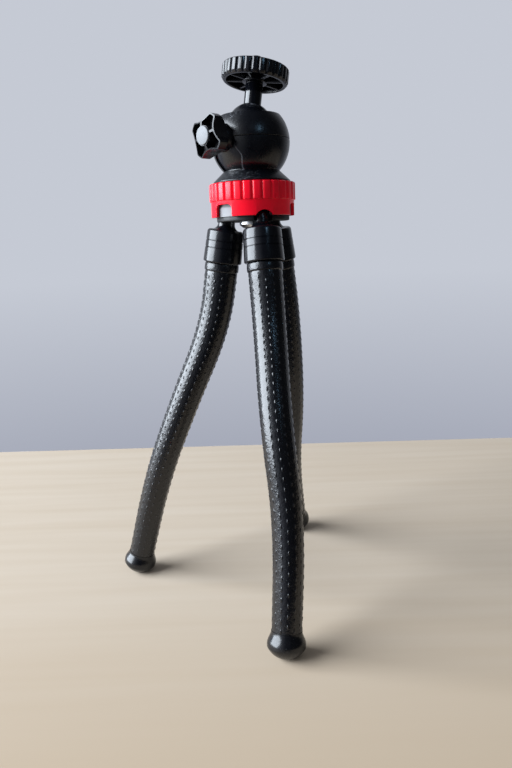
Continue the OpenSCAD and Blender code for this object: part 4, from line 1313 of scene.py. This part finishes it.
class TRIPOD_OT_stage(Operator):
    """Lay the floor and set the wall, the lights and the camera"""

    bl_idname = "tripod.stage"
    bl_label = "Stage"

    def execute(self, context):
        s = context.scene.tripod_stage
        self.lay_floor(s)
        self.light_wall(context.scene, s)
        on_head = HUB + UP * 0.034
        self.lamp("window", (-2.0, -0.28, 0.93), (0.02, 0, 0.12), (2.2, 1.88), s.window, (0.83, 0.91, 1))
        sky = self.lamp("sky", (0.56, -0.93, 0.89), on_head, (0.22, 0.22), s.sky, (0.38, 0.68, 1), "SPOT")
        sky.data.spot_size, sky.data.spot_blend = math.radians(5), 0.5
        self.aim_camera(context.scene, s)
        context.scene.view_settings.view_transform = "Standard"
        return {"FINISHED"}

    def lay_floor(self, s):
        """A pale floor with faint streaks from side to side, and painted shade that darkens it in front."""
        fresh()
        bpy.ops.mesh.primitive_plane_add(size=1)
        floor = named("floor")
        width, depth, back = 1.5, 0.38, 0.232
        floor.dimensions = (width, depth, 0)
        settle(floor)
        settle(floor, Matrix.Translation((0.02, back - depth / 2, 0)) @ Matrix.Rotation(-0.02, 4, "Z"))
        material, tree, shader, place = blank("floor_pale")
        # Painted shade: the floor darkens towards the front
        front_shade = ranged(tree, node(tree, "SeparateXYZ", Vector=place).outputs["Y"], -0.13, 0.0, 1, 0)
        tone = mixed(tree, front_shade, tuple(s.floor), tuple(s.floor_shade_and_streaks))
        along = node(tree, "Mapping", Vector=place, Scale=(0.06, 1, 1)).outputs["Vector"]
        streaks = ranged(tree, grain(tree, along, 11 * MM, 2), 0.3, 0.7, 0, 0.4)
        tone = mixed(tree, streaks, tone, tuple(s.floor_shade_and_streaks))
        tree.links.new(tone, shader.inputs["Base Color"])
        tree.links.new(ranged(tree, streaks, 0, 0.4, 0.66, 0.74), shader.inputs["Roughness"])
        shader.inputs["Specular IOR Level"].default_value = 0.2
        floor.data.materials.append(material)

    def aim_camera(self, scene, s):
        """A camera with the turn, pitch and roll of the settings."""
        camera = bpy.data.objects.new("camera", bpy.data.cameras.new("camera"))
        scene.collection.objects.link(camera)
        camera.data.lens = s.lens
        camera.data.sensor_width = 36
        camera.data.clip_start = 0.01
        sin_yaw, cos_yaw = math.sin(s.yaw), math.cos(s.yaw)
        sin_pitch, cos_pitch = math.sin(s.pitch), math.cos(s.pitch)
        forward = Vector((sin_yaw * cos_pitch, cos_yaw * cos_pitch, -sin_pitch))
        up = Vector((sin_yaw * sin_pitch, cos_yaw * sin_pitch, cos_pitch))
        right = Vector((cos_yaw, -sin_yaw, 0))
        x = math.cos(s.roll) * right + math.sin(s.roll) * up
        y = math.cos(s.roll) * up - math.sin(s.roll) * right
        place = Matrix.Translation(HUB + Vector(s.camera_at))
        camera.matrix_world = place @ Matrix((x, y, -forward)).transposed().to_4x4()
        scene.camera = camera

    def lamp(self, name, at, target, size, power, colour, kind="AREA"):
        """A soft rectangular light, or a small round one."""
        fresh()
        bpy.ops.object.light_add(type=kind, location=at)
        lamp = named(name)
        if kind == "AREA":
            lamp.data.shape = "RECTANGLE"
            lamp.data.size, lamp.data.size_y = size
        else:
            lamp.data.shadow_soft_size = size[0] / 2
        lamp.data.energy = power
        lamp.data.color = colour
        lamp.visible_camera = False
        lamp.rotation_euler = (Vector(target) - Vector(at)).to_track_quat("-Z", "Y").to_euler()
        return lamp

    def light_wall(self, scene, s):
        """A pale wall that the camera and the gloss see, and an even light for the rest."""
        world = bpy.data.worlds.new("studio")
        scene.world = world
        world.use_nodes = True
        tree = world.node_tree
        tree.nodes.clear()
        way = node(tree, "TexCoord").outputs["Generated"]
        parts = node(tree, "SeparateXYZ", Vector=way).outputs
        # Painted shade: the wall darkens towards the floor, for the camera and the gloss
        rise = ranged(tree, parts["Z"], -0.42, -0.05, 0, 1)
        wall = mixed(tree, rise, tuple(s.wall_low_shade), tuple(s.wall))
        seen = node(tree, "Background", Color=wall, Strength=1.0)
        behind = ranged(tree, parts["Y"], 0.2, 0.95, 0.06, 0.9)
        aside = ranged(tree, parts["X"], -0.15, -0.75, 0.06, 1.1)
        mirrored = node(tree, "Background", Color=wall, Strength=maths(tree, "MAXIMUM", behind, aside))
        even = node(tree, "Background", Color=(0.86, 0.92, 1, 1), Strength=s.fill)
        path = node(tree, "LightPath").outputs
        gloss = maths(tree, "MAXIMUM", path["Is Glossy Ray"], path["Is Transmission Ray"])
        rest = node(tree, "MixShader", in0=gloss, in1=even.outputs[0], in2=mirrored.outputs[0])
        mix = node(tree, "MixShader", in0=path["Is Camera Ray"], in1=rest.outputs[0], in2=seen.outputs[0])
        node(tree, "OutputWorld", Surface=mix.outputs[0])


class TRIPOD_PT_panel(Panel):
    """Buttons and sizes of the tripod"""

    bl_idname = "TRIPOD_PT_panel"
    bl_label = "Flexible leg tripod"
    bl_space_type = "VIEW_3D"
    bl_region_type = "UI"
    bl_category = "Tripod"

    def draw(self, context):
        for operator in OPERATORS:
            self.layout.operator(operator.bl_idname)
        for name in GROUPS:
            box = self.layout.box()
            settings = getattr(context.scene, name)
            for key in settings.__annotations__:
                box.prop(settings, key)


GROUPS = {
    "tripod_legs": TripodLegSizes,
    "tripod_hub": TripodHubSizes,
    "tripod_head": TripodHeadSizes,
    "tripod_finishes": TripodFinishes,
    "tripod_stage": TripodStage,
}
OPERATORS = (
    TRIPOD_OT_stage,
    TRIPOD_OT_sleeves,
    TRIPOD_OT_shoulders,
    TRIPOD_OT_feet,
    TRIPOD_OT_lock_ring,
    TRIPOD_OT_hub,
    TRIPOD_OT_housing,
    TRIPOD_OT_ball_and_post,
    TRIPOD_OT_thumb_disc,
    TRIPOD_OT_clamp_knob,
    TRIPOD_OT_inner_works,
)


def register():
    """Register the settings, operators and panel."""
    for made in (*GROUPS.values(), *OPERATORS, TRIPOD_PT_panel):
        bpy.utils.register_class(made)
    for name, group in GROUPS.items():
        setattr(bpy.types.Scene, name, PointerProperty(type=group))


def unregister():
    """Take the settings, operators and panel away again."""
    for name in GROUPS:
        delattr(bpy.types.Scene, name)
    for made in reversed((*GROUPS.values(), *OPERATORS, TRIPOD_PT_panel)):
        bpy.utils.unregister_class(made)


def main():
    """Make every piece."""
    register()
    bpy.ops.tripod.stage()
    bpy.ops.tripod.sleeves()
    bpy.ops.tripod.shoulders()
    bpy.ops.tripod.feet()
    bpy.ops.tripod.lock_ring()
    bpy.ops.tripod.hub()
    bpy.ops.tripod.housing()
    bpy.ops.tripod.ball_and_post()
    bpy.ops.tripod.thumb_disc()
    bpy.ops.tripod.clamp_knob()
    bpy.ops.tripod.inner_works()
    fresh()


if __name__ == "__main__":
    main()
